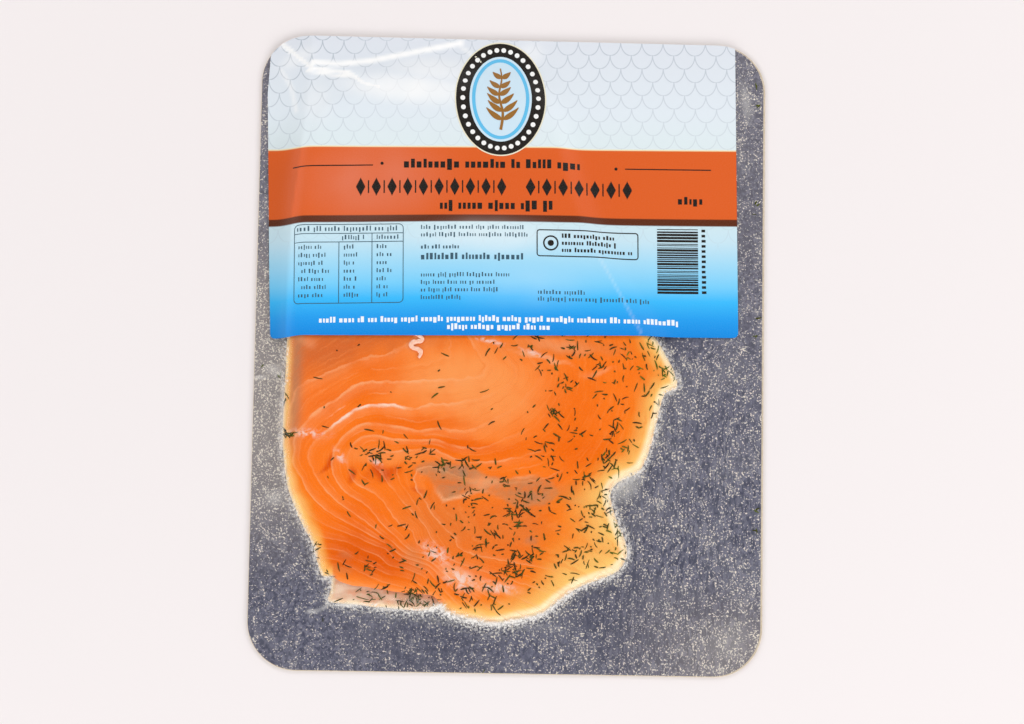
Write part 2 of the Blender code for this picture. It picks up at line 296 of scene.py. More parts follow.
class GravlaxSalmonSettings(bpy.types.PropertyGroup):
    flesh: colour_setting("Flesh", "Main colour of the flesh", "ff7c1c")
    deep: colour_setting("Deep", "Most saturated flesh", "f46800")
    # The light tone is laid in patches as a painted highlight, a soft reflection on the wet flesh; it also
    # lightens the flesh's fibres.
    glare: colour_setting("Light", "Lighter flesh along the loin", "ff9e55")
    rosy: colour_setting("Rosy", "Pinker flesh", "fb8440")
    # The ruddy tone is partly the flesh's own darker tone and partly painted shade where it lies along the
    # label's front edge.
    ruddy_and_shade: colour_setting("Ruddy", "Darker flesh near the skin side", "d46a36")
    amber: colour_setting("Amber", "Thin flesh at the tail side", "f88a14")
    yellow: colour_setting("Yellow", "Oiled edge", "ffd076")
    cream: colour_setting("Cream", "The very edge", "ffedc2")
    ember: colour_setting("Ember", "Deepest flesh, over the under slice", "e45a00")
    dusky: colour_setting("Dusky", "Flesh of the thin middle", "e87a34")
    muscle: colour_setting("Dark muscle", "Grey-brown muscle", "d28450")
    slate: colour_setting("Slate", "Greyest spots of the dark muscle", "ac8666")
    blood: colour_setting("Blood spot", "Dark red spots", "d84600")
    pale: colour_setting("Pale", "Milky patches", "ffba88")
    fat: colour_setting("Fat", "Fat lines", "ffb47c")
    under: colour_setting("Under slice", "The under slice where it shows", "f0d4ba")
    cell: length_setting("Mesh cell", "Spacing of the slices' mesh", 0.8)


class GravlaxFilmSettings(bpy.types.PropertyGroup):
    thickness: length_setting("Thickness", "Thickness of the film", 0.1)
    cell: length_setting("Mesh cell", "Spacing of the film's mesh", 1.25)
    # The haze colour also paints the highlight and the glints at the slices' foot.
    haze_and_glint: colour_setting("Haze", "Colour of the film's white haze", "fcf9f4")


class GravlaxLabelSettings(bpy.types.PropertyGroup):
    thickness: length_setting("Thickness", "Thickness of the paper", 0.12)
    cell: length_setting("Mesh cell", "Spacing of the label's mesh", 1.0)
    pale: colour_setting("Top field", "Pale field at the top", "e2ebf2")
    orange: colour_setting("Band", "Band across the middle", "df6022")
    brown: colour_setting("Stripe", "Dark stripe under the band", "5e2a10")
    blue: colour_setting("Blue", "Blue at the front edge", "2c92e2")
    ink: colour_setting("Ink", "Dark print", "1d1712")
    thin_ink: colour_setting("Thin ink", "Small print, thinned by the paper between its strokes", "3c5a6b")
    scale_line: colour_setting("Scale line", "Lines of the fish-scale pattern", "aab4c0")


class GravlaxDillSettings(bpy.types.PropertyGroup):
    seed: IntProperty(name="Seed", description="Picks another scatter", default=7)
    length: length_setting("Length", "Mean length of a thread", 2.75)
    width: length_setting("Width", "Mean width of a thread", 0.5)
    dark: colour_setting("Dark", "Old, dark green", "352b08")
    fresh: colour_setting("Fresh", "Fresh, yellow green", "6c7a1a")


class GravlaxStageSettings(bpy.types.PropertyGroup):
    floor: colour_setting("Floor", "Colour of the floor", "f2ecec")
    sky: FloatProperty(name="Sky", description="Strength of the light from all round", min=0, default=1.08)
    lamps: FloatProperty(name="Lamps", description="Strength of the studio lamps", min=0, default=1.05)


SETTINGS = {
    "card": GravlaxCardSettings,
    "salmon": GravlaxSalmonSettings,
    "film": GravlaxFilmSettings,
    "label": GravlaxLabelSettings,
    "dill": GravlaxDillSettings,
    "stage": GravlaxStageSettings,
}


def settings_of(scene, part):
    return getattr(scene, "gravlax_" + part)


# Shapes

def outline_of(node, steps=1):
    """The loop round a CAD node's upward faces, anticlockwise, on a curve with steps to a side."""
    mesh = bmesh.new()
    mesh.from_mesh(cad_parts[node].data)
    bmesh.ops.remove_doubles(mesh, verts=mesh.verts, dist=0.001 * MM)
    mesh.normal_update()
    upward = 0.05
    rim = [e for e in mesh.edges if sum(f.normal.z > upward for f in e.link_faces) == 1]
    ends = {}
    for edge in rim:
        for vert in edge.verts:
            ends.setdefault(vert, []).append(edge)
    loops, left = [], set(rim)
    while left:
        edge = left.pop()
        start, here = edge.verts
        loop = [start.co.xy, here.co.xy]
        while True:
            onward = [e for e in ends[here] if e in left]
            if not onward:
                break
            left.discard(onward[0])
            here = onward[0].other_vert(here)
            loop.append(here.co.xy)
        loops.append(np.array(loop[:-1], float))
    mesh.free()
    knots = max(loops, key=len)
    area = (knots[:, 0] * np.roll(knots[:, 1], -1) - np.roll(knots[:, 0], -1) * knots[:, 1]).sum()
    if area < 0:
        knots = knots[::-1]
    before, after, beyond = (np.roll(knots, shift, axis=0) for shift in (1, -1, -2))
    out = []
    for step in range(steps):
        t = step / steps
        out.append(0.5 * (2 * knots + (after - before) * t
                          + (2 * before - 5 * knots + 4 * after - beyond) * t ** 2
                          + (3 * knots - before - 3 * after + beyond) * t ** 3))
    return np.stack(out, axis=1).reshape(-1, 2)


def ragged(loop, reach, length):
    """The loop moved in and out by up to reach, in bumps of about that length."""
    along = np.roll(loop, -1, axis=0) - np.roll(loop, 1, axis=0)
    outwards = np.stack((along[:, 1], -along[:, 0]), axis=1)
    outwards /= np.linalg.norm(outwards, axis=1)[:, None]
    shift = np.array([noise.noise(Vector((x, y, 0)) / length) for x, y in loop])
    return loop + outwards * (shift * reach)[:, None]


def depth_inside(points, loop, chunk=2000):
    """How far each point is inside the loop, negative outside it."""
    run = np.roll(loop, -1, axis=0) - loop
    length = np.maximum((run ** 2).sum(1), 1e-18)
    end = loop + run
    rise = np.where(run[:, 1] == 0, 1, run[:, 1])
    depths = []
    for first in range(0, len(points), chunk):
        part = points[first:first + chunk]
        offset = part[:, None, :] - loop[None]
        share = np.clip((offset * run).sum(2) / length, 0, 1)
        nearest = np.linalg.norm(offset - share[..., None] * run, axis=2).min(axis=1)
        spans = (loop[:, 1] > part[:, None, 1]) != (end[:, 1] > part[:, None, 1])
        crossing = loop[:, 0] + (part[:, None, 1] - loop[:, 1]) / rise * run[:, 0]
        inside = (spans & (part[:, None, 0] < crossing)).sum(axis=1) % 2 == 1
        depths.append(np.where(inside, nearest, -nearest))
    return np.concatenate(depths)


def nearest_on(points, loop):
    """The place on the loop that is nearest to each point."""
    run = np.roll(loop, -1, axis=0) - loop
    offset = points[:, None, :] - loop[None]
    share = np.clip((offset * run).sum(2) / np.maximum((run ** 2).sum(1), 1e-18), 0, 1)
    places = loop + share[..., None] * run
    best = np.linalg.norm(points[:, None, :] - places, axis=2).argmin(axis=1)
    return places[np.arange(len(points)), best]


def along_path(points, path):
    """Each point's distance from an open path of straight runs."""
    start, run = np.array(path[:-1], float), np.diff(np.array(path, float), axis=0)
    offset = points[:, None, :] - start[None]
    share = np.clip((offset * run).sum(2) / (run ** 2).sum(1), 0, 1)
    return np.linalg.norm(offset - share[..., None] * run, axis=2).min(axis=1)


def in_patch(points, middle, halves, turn):
    """1 in the middle of a turned ellipse, falling to 0 at about half as far out again."""
    angle = math.radians(turn)
    offset = points - np.array(middle)
    across = offset[:, 0] * math.cos(angle) + offset[:, 1] * math.sin(angle)
    up = -offset[:, 0] * math.sin(angle) + offset[:, 1] * math.cos(angle)
    return np.exp(-1.2 * ((across / halves[0]) ** 2 + (up / halves[1]) ** 2) ** 1.5)


def uneven(points, length, seed=0.0):
    """Soft noise from -1 to 1, in bumps of about that length."""
    return np.array([noise.noise(Vector((x / length, y / length, seed))) for x, y in points])


def places_of(mesh):
    return np.array([vert.co.xy for vert in mesh.verts], float).reshape(-1, 2)


def cut_grid(outline, cell):
    """An even grid of squares inside an outline, its edge moved on to the outline."""
    low, high = outline.min(axis=0), outline.max(axis=0)
    middle, span = (low + high) / 2, high - low
    columns, rows = (max(1, math.ceil(s / cell)) for s in span)
    mesh = bmesh.new()
    scale = Matrix.Translation((*middle, 0)) @ Matrix.Diagonal((span[0], span[1], 1, 1))
    bmesh.ops.create_grid(mesh, x_segments=columns, y_segments=rows, size=0.5, matrix=scale)
    faces = list(mesh.faces)
    centres = np.array([face.calc_center_median().xy for face in faces], float)
    outside = [face for face, depth in zip(faces, depth_inside(centres, outline)) if depth < 0]
    bmesh.ops.delete(mesh, geom=outside, context="FACES")
    pinched = True
    while pinched:
        pinched = [v for v in mesh.verts if sum(e.is_boundary for e in v.link_edges) > 2]
        bmesh.ops.delete(mesh, geom=list({f for v in pinched for f in v.link_faces[:1]}), context="FACES")
    edge = [vert for vert in mesh.verts if vert.is_boundary]
    for vert, place in zip(edge, nearest_on(np.array([v.co.xy for v in edge], float), outline)):
        vert.co.xy = place
    inner = [vert for vert in mesh.verts if not vert.is_boundary
             and any(e.other_vert(vert).is_boundary for e in vert.link_edges)]
    bmesh.ops.smooth_vert(mesh, verts=inner, factor=0.5, use_axis_x=True, use_axis_y=True)
    return mesh


def give_thickness(mesh, top, bottom):
    """Makes an open sheet a closed body. top and bottom give the heights at an array of places."""
    upper = list(mesh.verts)
    grown = bmesh.ops.extrude_face_region(mesh, geom=list(mesh.faces))["geom"]
    lower = [thing for thing in grown if isinstance(thing, bmesh.types.BMVert)]
    for verts, height in ((upper, top), (lower, bottom)):
        heights = height(np.array([v.co.xy for v in verts], float))
        for vert, z in zip(verts, heights):
            vert.co.z = z
    bmesh.ops.recalc_face_normals(mesh, faces=mesh.faces)


def finished(mesh, name, materials, replaces=None, smooth=True, sharp=35):
    """Makes the mesh a piece of the pack."""
    data = bpy.data.meshes.new(name)
    mesh.to_mesh(data)
    mesh.free()
    piece = bpy.data.objects.new(name, data)
    bpy.context.scene.collection.objects.link(piece)
    for made in materials:
        data.materials.append(made)
    if smooth:
        data.shade_smooth()
        data.set_sharp_from_angle(angle=math.radians(sharp))
    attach(piece, "root")
    if replaces:
        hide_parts(replaces)
    return piece


def note_values(piece, name, values):
    """Stores one value or colour for each vertex."""
    kind, key = ("FLOAT", "value") if values.ndim == 1 else ("FLOAT_VECTOR", "vector")
    attribute = piece.data.attributes.new(name, kind, "POINT")
    attribute.data.foreach_set(key, values.astype(np.float32).ravel())


def vertex_places(piece):
    places = np.empty(len(piece.data.vertices) * 3, np.float32)
    piece.data.vertices.foreach_get("co", places)
    return places.reshape(-1, 3).astype(float)


def tree_of(node):
    mesh = bmesh.new()
    mesh.from_mesh(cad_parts[node].data)
    tree = BVHTree.FromBMesh(mesh)
    mesh.free()
    return tree


def node_height(tree, points, looking_down=True):
    """The height of a CAD node's upper side, or of its underside, at each place."""
    far = 1.0
    way = -1 if looking_down else 1
    heights = np.empty(len(points))
    for i, (x, y) in enumerate(points):
        hit = tree.ray_cast(Vector((x, y, -way * far)), Vector((0, 0, way)))[0]
        if hit is None:
            hit = tree.find_nearest(Vector((x, y, CARD_TOP)))[0]
        heights[i] = hit.z
    return heights


class Drape:
    """A sheet's rise over the card as an even field, eased as a drawn sheet is."""

    step = 1 * MM

    def __init__(self, rounds, tight, over=None):
        margin = 2 * MM
        self.low = np.array((CARD_LOW.x - margin, CARD_LOW.y - margin))
        columns = int((CARD_HIGH.x - CARD_LOW.x + 2 * margin) / self.step) + 2
        rows = int((CARD_HIGH.y - CARD_LOW.y + 2 * margin) / self.step) + 2
        x, y = np.meshgrid(np.arange(columns), np.arange(rows), indexing="ij")
        points = self.low + np.stack((x.ravel(), y.ravel()), axis=1) * self.step
        field = node_height(tree_of("film"), points)
        # Most of the first columns lie beside the slices, so their median is the bare card's level
        first_columns = 20
        field = np.maximum(field - np.median(field[:first_columns * rows]), 0)
        if tight:
            slices = ("slice_top", "slice_under")
            depth = np.maximum(*(depth_inside(points, outline_of(node)) for node in slices))
            field *= smoothstep((depth + 1.6 * MM) / (1.9 * MM))
        field = field.reshape(columns, rows)
        # The CAD film floats over the card by its clearance, which a real film does not
        field += FILM_DROP * smoothstep(field / (1.2 * MM))
        last_rounds = 8
        for count in range(rounds, 0, -1):
            padded = np.pad(field, 1, mode="edge")
            beside = (padded[:-2, 1:-1] + padded[2:, 1:-1] + padded[1:-1, :-2] + padded[1:-1, 2:]) / 4
            field = 0.4 * field + 0.6 * beside
            if over is not None and count > last_rounds:
                field = np.maximum(field, over.field)
        self.field = field

    def __call__(self, points):
        place = (points - self.low) / self.step
        cell = np.clip(place.astype(int), 0, np.array(self.field.shape) - 2)
        x, y = (np.clip(place - cell, 0, 1)).T
        i, j = cell.T
        f = self.field
        return ((f[i, j] * (1 - x) + f[i + 1, j] * x) * (1 - y)
                + (f[i, j + 1] * (1 - x) + f[i + 1, j + 1] * x) * y)


def relief(points):
    """Slight unevenness that the slices, the film and the label share."""
    places = points / MM
    return (0.10 * uneven(places, 17, 3.0) + 0.05 * uneven(places, 6, 9.0)) * MM


def raised(points):
    """0 on the card to 1 on the slices."""
    return smoothstep(film_drape(points) / (2 * MM))


def creased(points, creases):
    places = points / MM
    total = np.zeros(len(points))
    for path, height, half_width in creases:
        total = np.maximum(total, height * np.exp(-(along_path(places, path) / half_width) ** 2))
    return total * MM


def film_height(points):
    rise = film_drape(points) + relief(points) * raised(points)
    return CARD_TOP + FILM_LEVEL + rise + creased(points, FILM_CREASES)


def label_height(points):
    """The upper side of the label, which lies on the film."""
    rise = label_drape(points) + relief(points) * raised(points)
    return CARD_TOP + LABEL_LEVEL + rise + creased(points, LABEL_CREASES)


film_drape = Drape(rounds=2, tight=True)
label_drape = Drape(rounds=70, tight=False, over=film_drape)


# Materials

class Tree:
    """Writes a material's nodes. Each call adds one node and gives back its output."""

    def __init__(self, name):
        self.material = bpy.data.materials.new(name)
        self.material.use_nodes = True
        self.nodes = self.material.node_tree.nodes
        self.links = self.material.node_tree.links
        self.nodes.clear()

    def node(self, kind, inputs, output=0, **choices):
        made = self.nodes.new("ShaderNode" + kind)
        for choice, value in choices.items():
            setattr(made, choice, value)
        for key, value in inputs.items():
            socket = made.inputs[key]
            if isinstance(value, bpy.types.NodeSocket):
                self.links.new(value, socket)
            else:
                socket.default_value = value
        return made.outputs[output]

    def place(self):
        return self.node("TexCoord", {}, "Object")

    def attribute(self, name, output="Fac"):
        return self.node("Attribute", {}, output, attribute_name=name)

    def scaled(self, vector, x, y, z=1.0):
        return self.node("Mapping", {"Vector": vector, "Scale": (x, y, z)})

    def noise(self, vector, detail=2.0, roughness=0.5, distortion=0.0):
        return self.node("TexNoise", {"Vector": vector, "Scale": 1.0, "Detail": detail,
                                      "Roughness": roughness, "Distortion": distortion})

    def math(self, operation, first, second=0.0, third=0.0):
        return self.node("Math", {0: first, 1: second, 2: third}, operation=operation)

    def range(self, value, low, high, to_low=0.0, to_high=1.0):
        return self.node("MapRange", {"Value": value, "From Min": low, "From Max": high,
                                      "To Min": to_low, "To Max": to_high},
                         interpolation_type="SMOOTHSTEP")

    def mix(self, share, first, second, blend="MIX"):
        first, second = (c if isinstance(c, bpy.types.NodeSocket) else (*c[:3], 1) for c in (first, second))
        return self.node("Mix", {0: share, 6: first, 7: second}, 2, data_type="RGBA", blend_type=blend)

    def ramp(self, value, stops):
        made = self.nodes.new("ShaderNodeValToRGB")
        self.links.new(value, made.inputs[0])
        elements = made.color_ramp.elements
        while len(elements) < len(stops):
            elements.new(0.5)
        for element, (position, colour) in zip(elements, stops):
            element.position = position
            element.color = (*colour[:3], 1)
        return made.outputs[0]

    def bump(self, height, distance, strength=1.0, normal=None):
        inputs = {"Height": height, "Distance": distance, "Strength": strength}
        if normal:
            inputs["Normal"] = normal
        return self.node("Bump", inputs)

    def surface(self, shader):
        output = self.nodes.new("ShaderNodeOutputMaterial")
        self.links.new(shader, output.inputs["Surface"])
        return self.material


def foil_material(settings):
    tree = Tree("silver foil")
    place = tree.place()
    across, up, _ = (tree.node("SeparateXYZ", {"Vector": place}, i) for i in range(3))
    # The grain runs along the card towards the front right, and is round elsewhere
    front_right = tree.math("MULTIPLY", tree.range(across, -0.03, 0.05), tree.range(up, 0.03, -0.05))
    round_creep = tree.noise(tree.scaled(place, 820, 640), 2.0, 0.55, distortion=1.0)
    long_creep = tree.noise(tree.scaled(place, 950, 340), 2.0, 0.55, distortion=0.9)
    creep = tree.node("Mix", {0: front_right, 2: round_creep, 3: long_creep}, 0)
    specks = tree.noise(tree.scaled(place, 1300, 1300), 1.0, 0.6)
    spread = tree.noise(tree.scaled(place, 42, 42), 2.0)
    broad = tree.noise(tree.scaled(place, 17, 17), 2.0)
    left = tree.math("MULTIPLY", tree.range(across, -0.04, -0.090), tree.range(up, -0.10, -0.03))
    left = tree.math("MULTIPLY", left, tree.range(up, 0.06, 0.01, 0.25, 1.0))
    top_right = tree.math("MULTIPLY", tree.range(across, 0.06, 0.09), tree.range(up, -0.06, 0.06, 0.0, 0.2))
    corner = tree.math("MULTIPLY", tree.range(across, 0.03, 0.09), tree.range(up, -0.08, -0.115, 0.0, 0.6))
    bright_side = tree.math("MAXIMUM", left, tree.math("MAXIMUM", top_right, corner))
    lift = tree.math("MULTIPLY", bright_side, 0.10)
    lift = tree.math("ADD", lift, tree.math("MULTIPLY", front_right, 0.03))
    lift = tree.math("ADD", lift, tree.math("MULTIPLY", tree.math("SUBTRACT", spread, 0.5), 0.12))
    clumps = tree.noise(tree.scaled(place, 300, 190), 2.0, 0.6, distortion=0.6)
    lift = tree.math("ADD", lift, tree.math("MULTIPLY", tree.math("SUBTRACT", clumps, 0.52), 0.45))
    # Painted glints lie in short bent lines along the foil's creep
    ridge = tree.range(tree.math("ABSOLUTE", tree.math("SUBTRACT", creep, 0.5)), 0.09, 0.02)
    glint = tree.math("MULTIPLY", ridge, tree.range(tree.math("ADD", specks, lift), 0.58, 0.64))
    # Painted shade in the low parts of the bump's relief, and a painted highlight on its crests
    hollow_shade = tree.range(creep, 0.54, 0.36, 0.0, 0.85)
    dark = tree.mix(hollow_shade, settings.silver, tone("4e5064"))
    dark = tree.mix(tree.range(broad, 0.54, 0.38, 0.0, 0.5), dark, tone("5a5b6e"))
    crest_highlight = tree.range(creep, 0.54, 0.70, 0.0, 0.5)
    base = tree.mix(crest_highlight, dark, tone("a3a2ae"))
    base = tree.mix(tree.range(clumps, 0.50, 0.34, 0.0, 0.35), base, tone("56586a"))
    base = tree.mix(tree.range(clumps, 0.54, 0.70, 0.0, 0.30), base, tone("a9a7b0"))
    cloud = tree.range(spread, 0.45, 0.7, 0.0, 0.22)
    base = tree.mix(cloud, base, tone("a5a4ae"))
    base = tree.mix(tree.math("MULTIPLY", bright_side, 0.75), base, tone("b4aaa5"))
    colour = tree.mix(glint, base, settings.glint)
    normal = tree.bump(creep, 0.08 * MM, 0.5)
    shader = tree.node("BsdfPrincipled", {"Base Color": colour, "Metallic": 0.35, "Roughness": 0.42,
                                          "Normal": normal})
    return tree.surface(shader)


def gold_material(settings):
    tree = Tree("gold laminate")
    place = tree.place()
    cloud = tree.noise(tree.scaled(place, 30, 60), 3.0)
    fine = tree.noise(tree.scaled(place, 1800, 1800), 2.0)
    colour = tree.mix(tree.range(cloud, 0.35, 0.65, 0.0, 0.25), settings.gold, tone("8f7038"))
    shader = tree.node("BsdfPrincipled", {"Base Color": colour, "Metallic": 0.85, "Roughness": 0.32,
                                          "Normal": tree.bump(fine, 0.03 * MM, 0.5)})
    return tree.surface(shader)


def board_material(settings):
    tree = Tree("cut board")
    fibre = tree.noise(tree.scaled(tree.place(), 700, 700, 6000), 3.0)
    colour = tree.mix(tree.range(fibre, 0.3, 0.7, 0.0, 0.35), settings.board, tone("a5906f"))
    shader = tree.node("BsdfPrincipled", {"Base Color": colour, "Roughness": 0.7,
                                          "Normal": tree.bump(fibre, 0.06 * MM, 0.6)})
    return tree.surface(shader)


def flesh_material(settings):
    tree = Tree("salmon flesh")
    place = tree.place()
    ripple = tree.noise(tree.scaled(place, 330, 330), 3.0)
    ripple = tree.math("MULTIPLY", tree.math("SUBTRACT", ripple, 0.5), 0.22)
    field = tree.math("ADD", tree.attribute("fat_order"), ripple)
    off = tree.math("SUBTRACT", field, tree.math("ROUND", field))
    spacing = tree.attribute("fat_spacing")
    distance = tree.math("MULTIPLY", tree.math("ABSOLUTE", off), spacing)
    # A line is crisp on its outer side and fades into the flesh on its inner side
    inner = tree.math("GREATER_THAN", off, 0.0)
    width = tree.math("MULTIPLY", tree.attribute("fat_width"),
                      tree.math("ADD", 0.6, tree.math("MULTIPLY", inner, 0.7)))
    near = tree.math("DIVIDE", distance, width)
    broken = tree.range(tree.noise(tree.scaled(place, 130, 130), 3.0), 0.30, 0.6, 0.3, 1.0)
    strength = tree.math("MULTIPLY", tree.attribute("fat_strength"), broken)
    line = tree.math("MULTIPLY", tree.range(near, 1.3, 0.1), strength)
    halo = tree.math("MULTIPLY", tree.range(near, 6.0, 0.0, 0.0, 0.32), inner)
    halo = tree.math("MULTIPLY", halo, strength)
    # Fainter lines lie half way between
    between = tree.math("SUBTRACT", tree.math("ABSOLUTE", off), 0.5)
    half_way = tree.math("MULTIPLY", tree.math("ABSOLUTE", between), spacing)
    gaps = tree.range(tree.noise(tree.scaled(place, 95, 95), 3.0), 0.42, 0.62)
    faint = tree.range(half_way, 0.5, 0.05, 0.0, 0.5)
    faint = tree.math("MULTIPLY", faint, tree.math("MULTIPLY", strength, gaps))
    line = tree.math("MAXIMUM", line, faint)
    threads = tree.node("CombineXYZ", {0: tree.math("MULTIPLY", field, 9.0), 1: 0.0, 2: 0.0})
    threads = tree.node("VectorMath", {0: threads, 1: tree.scaled(place, 70, 70)}, operation="ADD")
    fibre = tree.noise(threads, 2.0, 0.6)

    colour = tree.attribute("flesh_tone", "Vector")
    mottle = tree.noise(tree.scaled(place, 110, 140), 3.0, 0.6)
    fine = tree.noise(tree.scaled(place, 1300, 1300), 3.0, 0.6)
    colour = tree.mix(tree.range(mottle, 0.4, 0.75, 0.0, 0.16), colour, settings.deep)
    colour = tree.mix(tree.range(fine, 0.45, 0.75, 0.0, 0.08), colour, settings.fat)
    colour = tree.mix(tree.range(fibre, 0.50, 0.75, 0.0, 0.22), colour, settings.glare)
    colour = tree.mix(tree.range(fibre, 0.48, 0.28, 0.0, 0.25), colour, settings.deep)
    colour = tree.mix(halo, colour, settings.pale)
    white = tree.mix(tree.range(tree.attribute("fat_strength"), 0.75, 1.0), settings.fat, tone("ffdcc4"))
    colour = tree.mix(line, colour, white)
    crumbs = tree.noise(tree.scaled(place, 380, 380), 3.0, 0.6, 0.8)
    curd = tree.math("MULTIPLY", tree.attribute("white_fat"), tree.range(crumbs, 0.40, 0.60))
    colour = tree.mix(tree.math("MULTIPLY", curd, 0.85), colour, tone("f7d9cb"))
    wet = tree.math("ADD", tree.math("MULTIPLY", mottle, 0.6), tree.math("MULTIPLY", fine, 0.15))
    wet = tree.math("ADD", wet, tree.math("MULTIPLY", line, 0.25))
    shader = tree.node("BsdfPrincipled", {
        "Base Color": colour, "Roughness": 0.4, "Specular IOR Level": 0.08,
        "Normal": tree.bump(wet, 0.25 * MM, 0.5)})
    return tree.surface(shader)


def film_material(settings):
    tree = Tree("skin film")
    place = tree.place()
    crumple = tree.attribute("crumple")
    fine = tree.noise(tree.scaled(place, 900, 900), 3.0, 0.6)
    broad = tree.noise(tree.scaled(place, 90, 90), 2.0)
    creasing = tree.math("ADD", tree.math("MULTIPLY", crumple, 0.9), 0.05)
    height = tree.math("ADD", tree.math("MULTIPLY", broad, 0.35), tree.math("MULTIPLY", fine, creasing))
    normal = tree.bump(height, 0.5 * MM, 0.6)
    slant = tree.node("LayerWeight", {"Blend": 0.5, "Normal": normal}, "Facing")
    sheen = tree.math("ADD", tree.math("MULTIPLY", tree.math("POWER", slant, 4.0), 0.3), 0.007)
    gloss = tree.node("BsdfGlossy", {"Color": (1, 1, 1, 1), "Roughness": 0.12, "Normal": normal})
    clear = tree.node("MixShader", {0: sheen, 1: tree.node("BsdfTransparent", {}), 2: gloss})
    # The milky white is the film's haze, and at the slices' foot also painted highlight and painted glints.
    web = tree.noise(tree.scaled(place, 1000, 1000), 3.0, 0.7)
    share = tree.math("MULTIPLY", tree.attribute("haze_and_glint"), tree.range(web, 0.34, 0.55, 0.55, 1.0))
    sparks = tree.math("MULTIPLY", tree.attribute("sparkle"), tree.range(web, 0.50, 0.57))
    share = tree.math("MAXIMUM", share, sparks)
    milky = tree.node("BsdfPrincipled", {
        "Base Color": (*settings.haze_and_glint, 1), "Roughness": 0.5, "Normal": normal})
    return tree.surface(tree.node("MixShader", {0: share, 1: clear, 2: milky}))


def fish_scale_line(tree, across, up, row_shift):
    """The line of one set of U-shaped fish scales, whose rows are two pitches apart."""
    width, pitch, half, drop, line = 8.25, 5.25, 4.1, 5.25, 0.19
    column = tree.math("SUBTRACT", across, row_shift * width / 2)
    column = tree.math("FRACT", tree.math("DIVIDE", column, width))
    x = tree.math("MULTIPLY", tree.math("SUBTRACT", column, 0.5), width / half)
    row = tree.math("FRACT", tree.math("DIVIDE", tree.math("SUBTRACT", up, row_shift * pitch), 2 * pitch))
    y = tree.math("DIVIDE", tree.math("SUBTRACT", drop, tree.math("MULTIPLY", row, 2 * pitch)), drop)
    radius = tree.math("SQRT", tree.math("ADD", tree.math("MULTIPLY", x, x), tree.math("MULTIPLY", y, y)))
    off = tree.math("MULTIPLY", tree.math("ABSOLUTE", tree.math("SUBTRACT", radius, 1.0)), half)
    return tree.math("MULTIPLY", tree.range(off, line * 1.4, line * 0.4), tree.math("GREATER_THAN", y, 0.0))


def label_material(settings):
    tree = Tree("printed paper")
    spot = tree.attribute("print_place", "Vector")
    across, up, _ = (tree.node("SeparateXYZ", {"Vector": spot}, i) for i in range(3))
    grain = tree.noise(tree.scaled(tree.place(), 2200, 2200), 2.0)
    blue_stops = [(0, tone("0c8ae2")), (0.06, tone("209ff0")), (0.12, tone("3abcfc")), (0.17, tone("78d0fb")),
                  (0.25, tone("a6ddf7")), (0.32, tone("c8e6f3")), (0.373, tone("d0e8f0"))]
    band = [(0.3735, settings.brown), (0.3960, settings.brown), (0.3965, settings.orange),
            (0.6280, settings.orange), (0.6285, tone("f6e6b4")), (0.6315, tone("f6e6b4")),
            (0.6320, tone("dfecef")), (0.75, settings.pale), (1.0, tone("dfe4ec"))]
    fields = tree.ramp(tree.math("DIVIDE", up, LABEL_LENGTH), blue_stops + band)
    both = tree.math("MAXIMUM", fish_scale_line(tree, across, up, 0), fish_scale_line(tree, across, up, 1))
    weaker = tree.range(across, -76, -44, 1.0, 0.5)
    weaker = tree.math("SUBTRACT", weaker, tree.range(across, 0, 40, 0.0, -0.25))
    fade = tree.math("MULTIPLY", tree.range(up, 66, 118, 0.3, 0.85), weaker)
    upper = tree.math("GREATER_THAN", up, 73.2)
    faint = tree.math("MULTIPLY", tree.range(up, 30, 42, 0.0, 0.18), tree.math("LESS_THAN", up, 43.2))
    shown = tree.math("ADD", tree.math("MULTIPLY", fade, upper), faint)
    fields = tree.mix(tree.math("MULTIPLY", both, shown), fields, settings.scale_line)
    fields = tree.mix(tree.range(grain, 0.3, 0.7, 0.0, 0.015), fields, (1, 1, 1))
    # Painted highlight: the folds and the soft sheen patches are mixed towards white; along the folds this is
    # partly the paper whitened by folding.
    whitened = tree.math("MULTIPLY", tree.attribute("crease"), 0.95)
    whitened = tree.math("MAXIMUM", whitened, tree.attribute("sheen"))
    fields = tree.mix(whitened, fields, tone("fffffe"))
    # Painted shade: the flap left of the fold, where the paper slopes down to the card, is darkened, more so
    # low on the label.
    flap_shade = tree.math("MULTIPLY", tree.attribute("flap_shade"), tree.range(up, 60, 90, 0.16, 0.04))
    fields = tree.mix(flap_shade, fields, (0.0, 0.0, 0.0))
    cockle = tree.noise(tree.scaled(tree.place(), 110, 110), 2.0)
    height = tree.math("ADD", tree.math("MULTIPLY", cockle, 0.7), tree.math("MULTIPLY", grain, 0.03))
    shader = tree.node("BsdfPrincipled", {
        "Base Color": fields, "Roughness": 0.45, "Specular IOR Level": 0.12, "Coat Weight": 0.1,
        "Coat Roughness": 0.16, "Normal": tree.bump(height, 0.3 * MM, 0.5)})
    return tree.surface(shader)


def ink_material(name, colour):
    tree = Tree(name)
    grain = tree.noise(tree.scaled(tree.place(), 2500, 2500), 2.0)
    whitened = tree.mix(tree.range(grain, 0.35, 0.8, 0.0, 0.03), colour, (1, 1, 1))
    shader = tree.node("BsdfPrincipled", {"Base Color": whitened, "Roughness": 0.5, "Specular IOR Level": 0.15,
                                          "Normal": tree.bump(grain, 0.02 * MM, 0.3)})
    return tree.surface(shader)


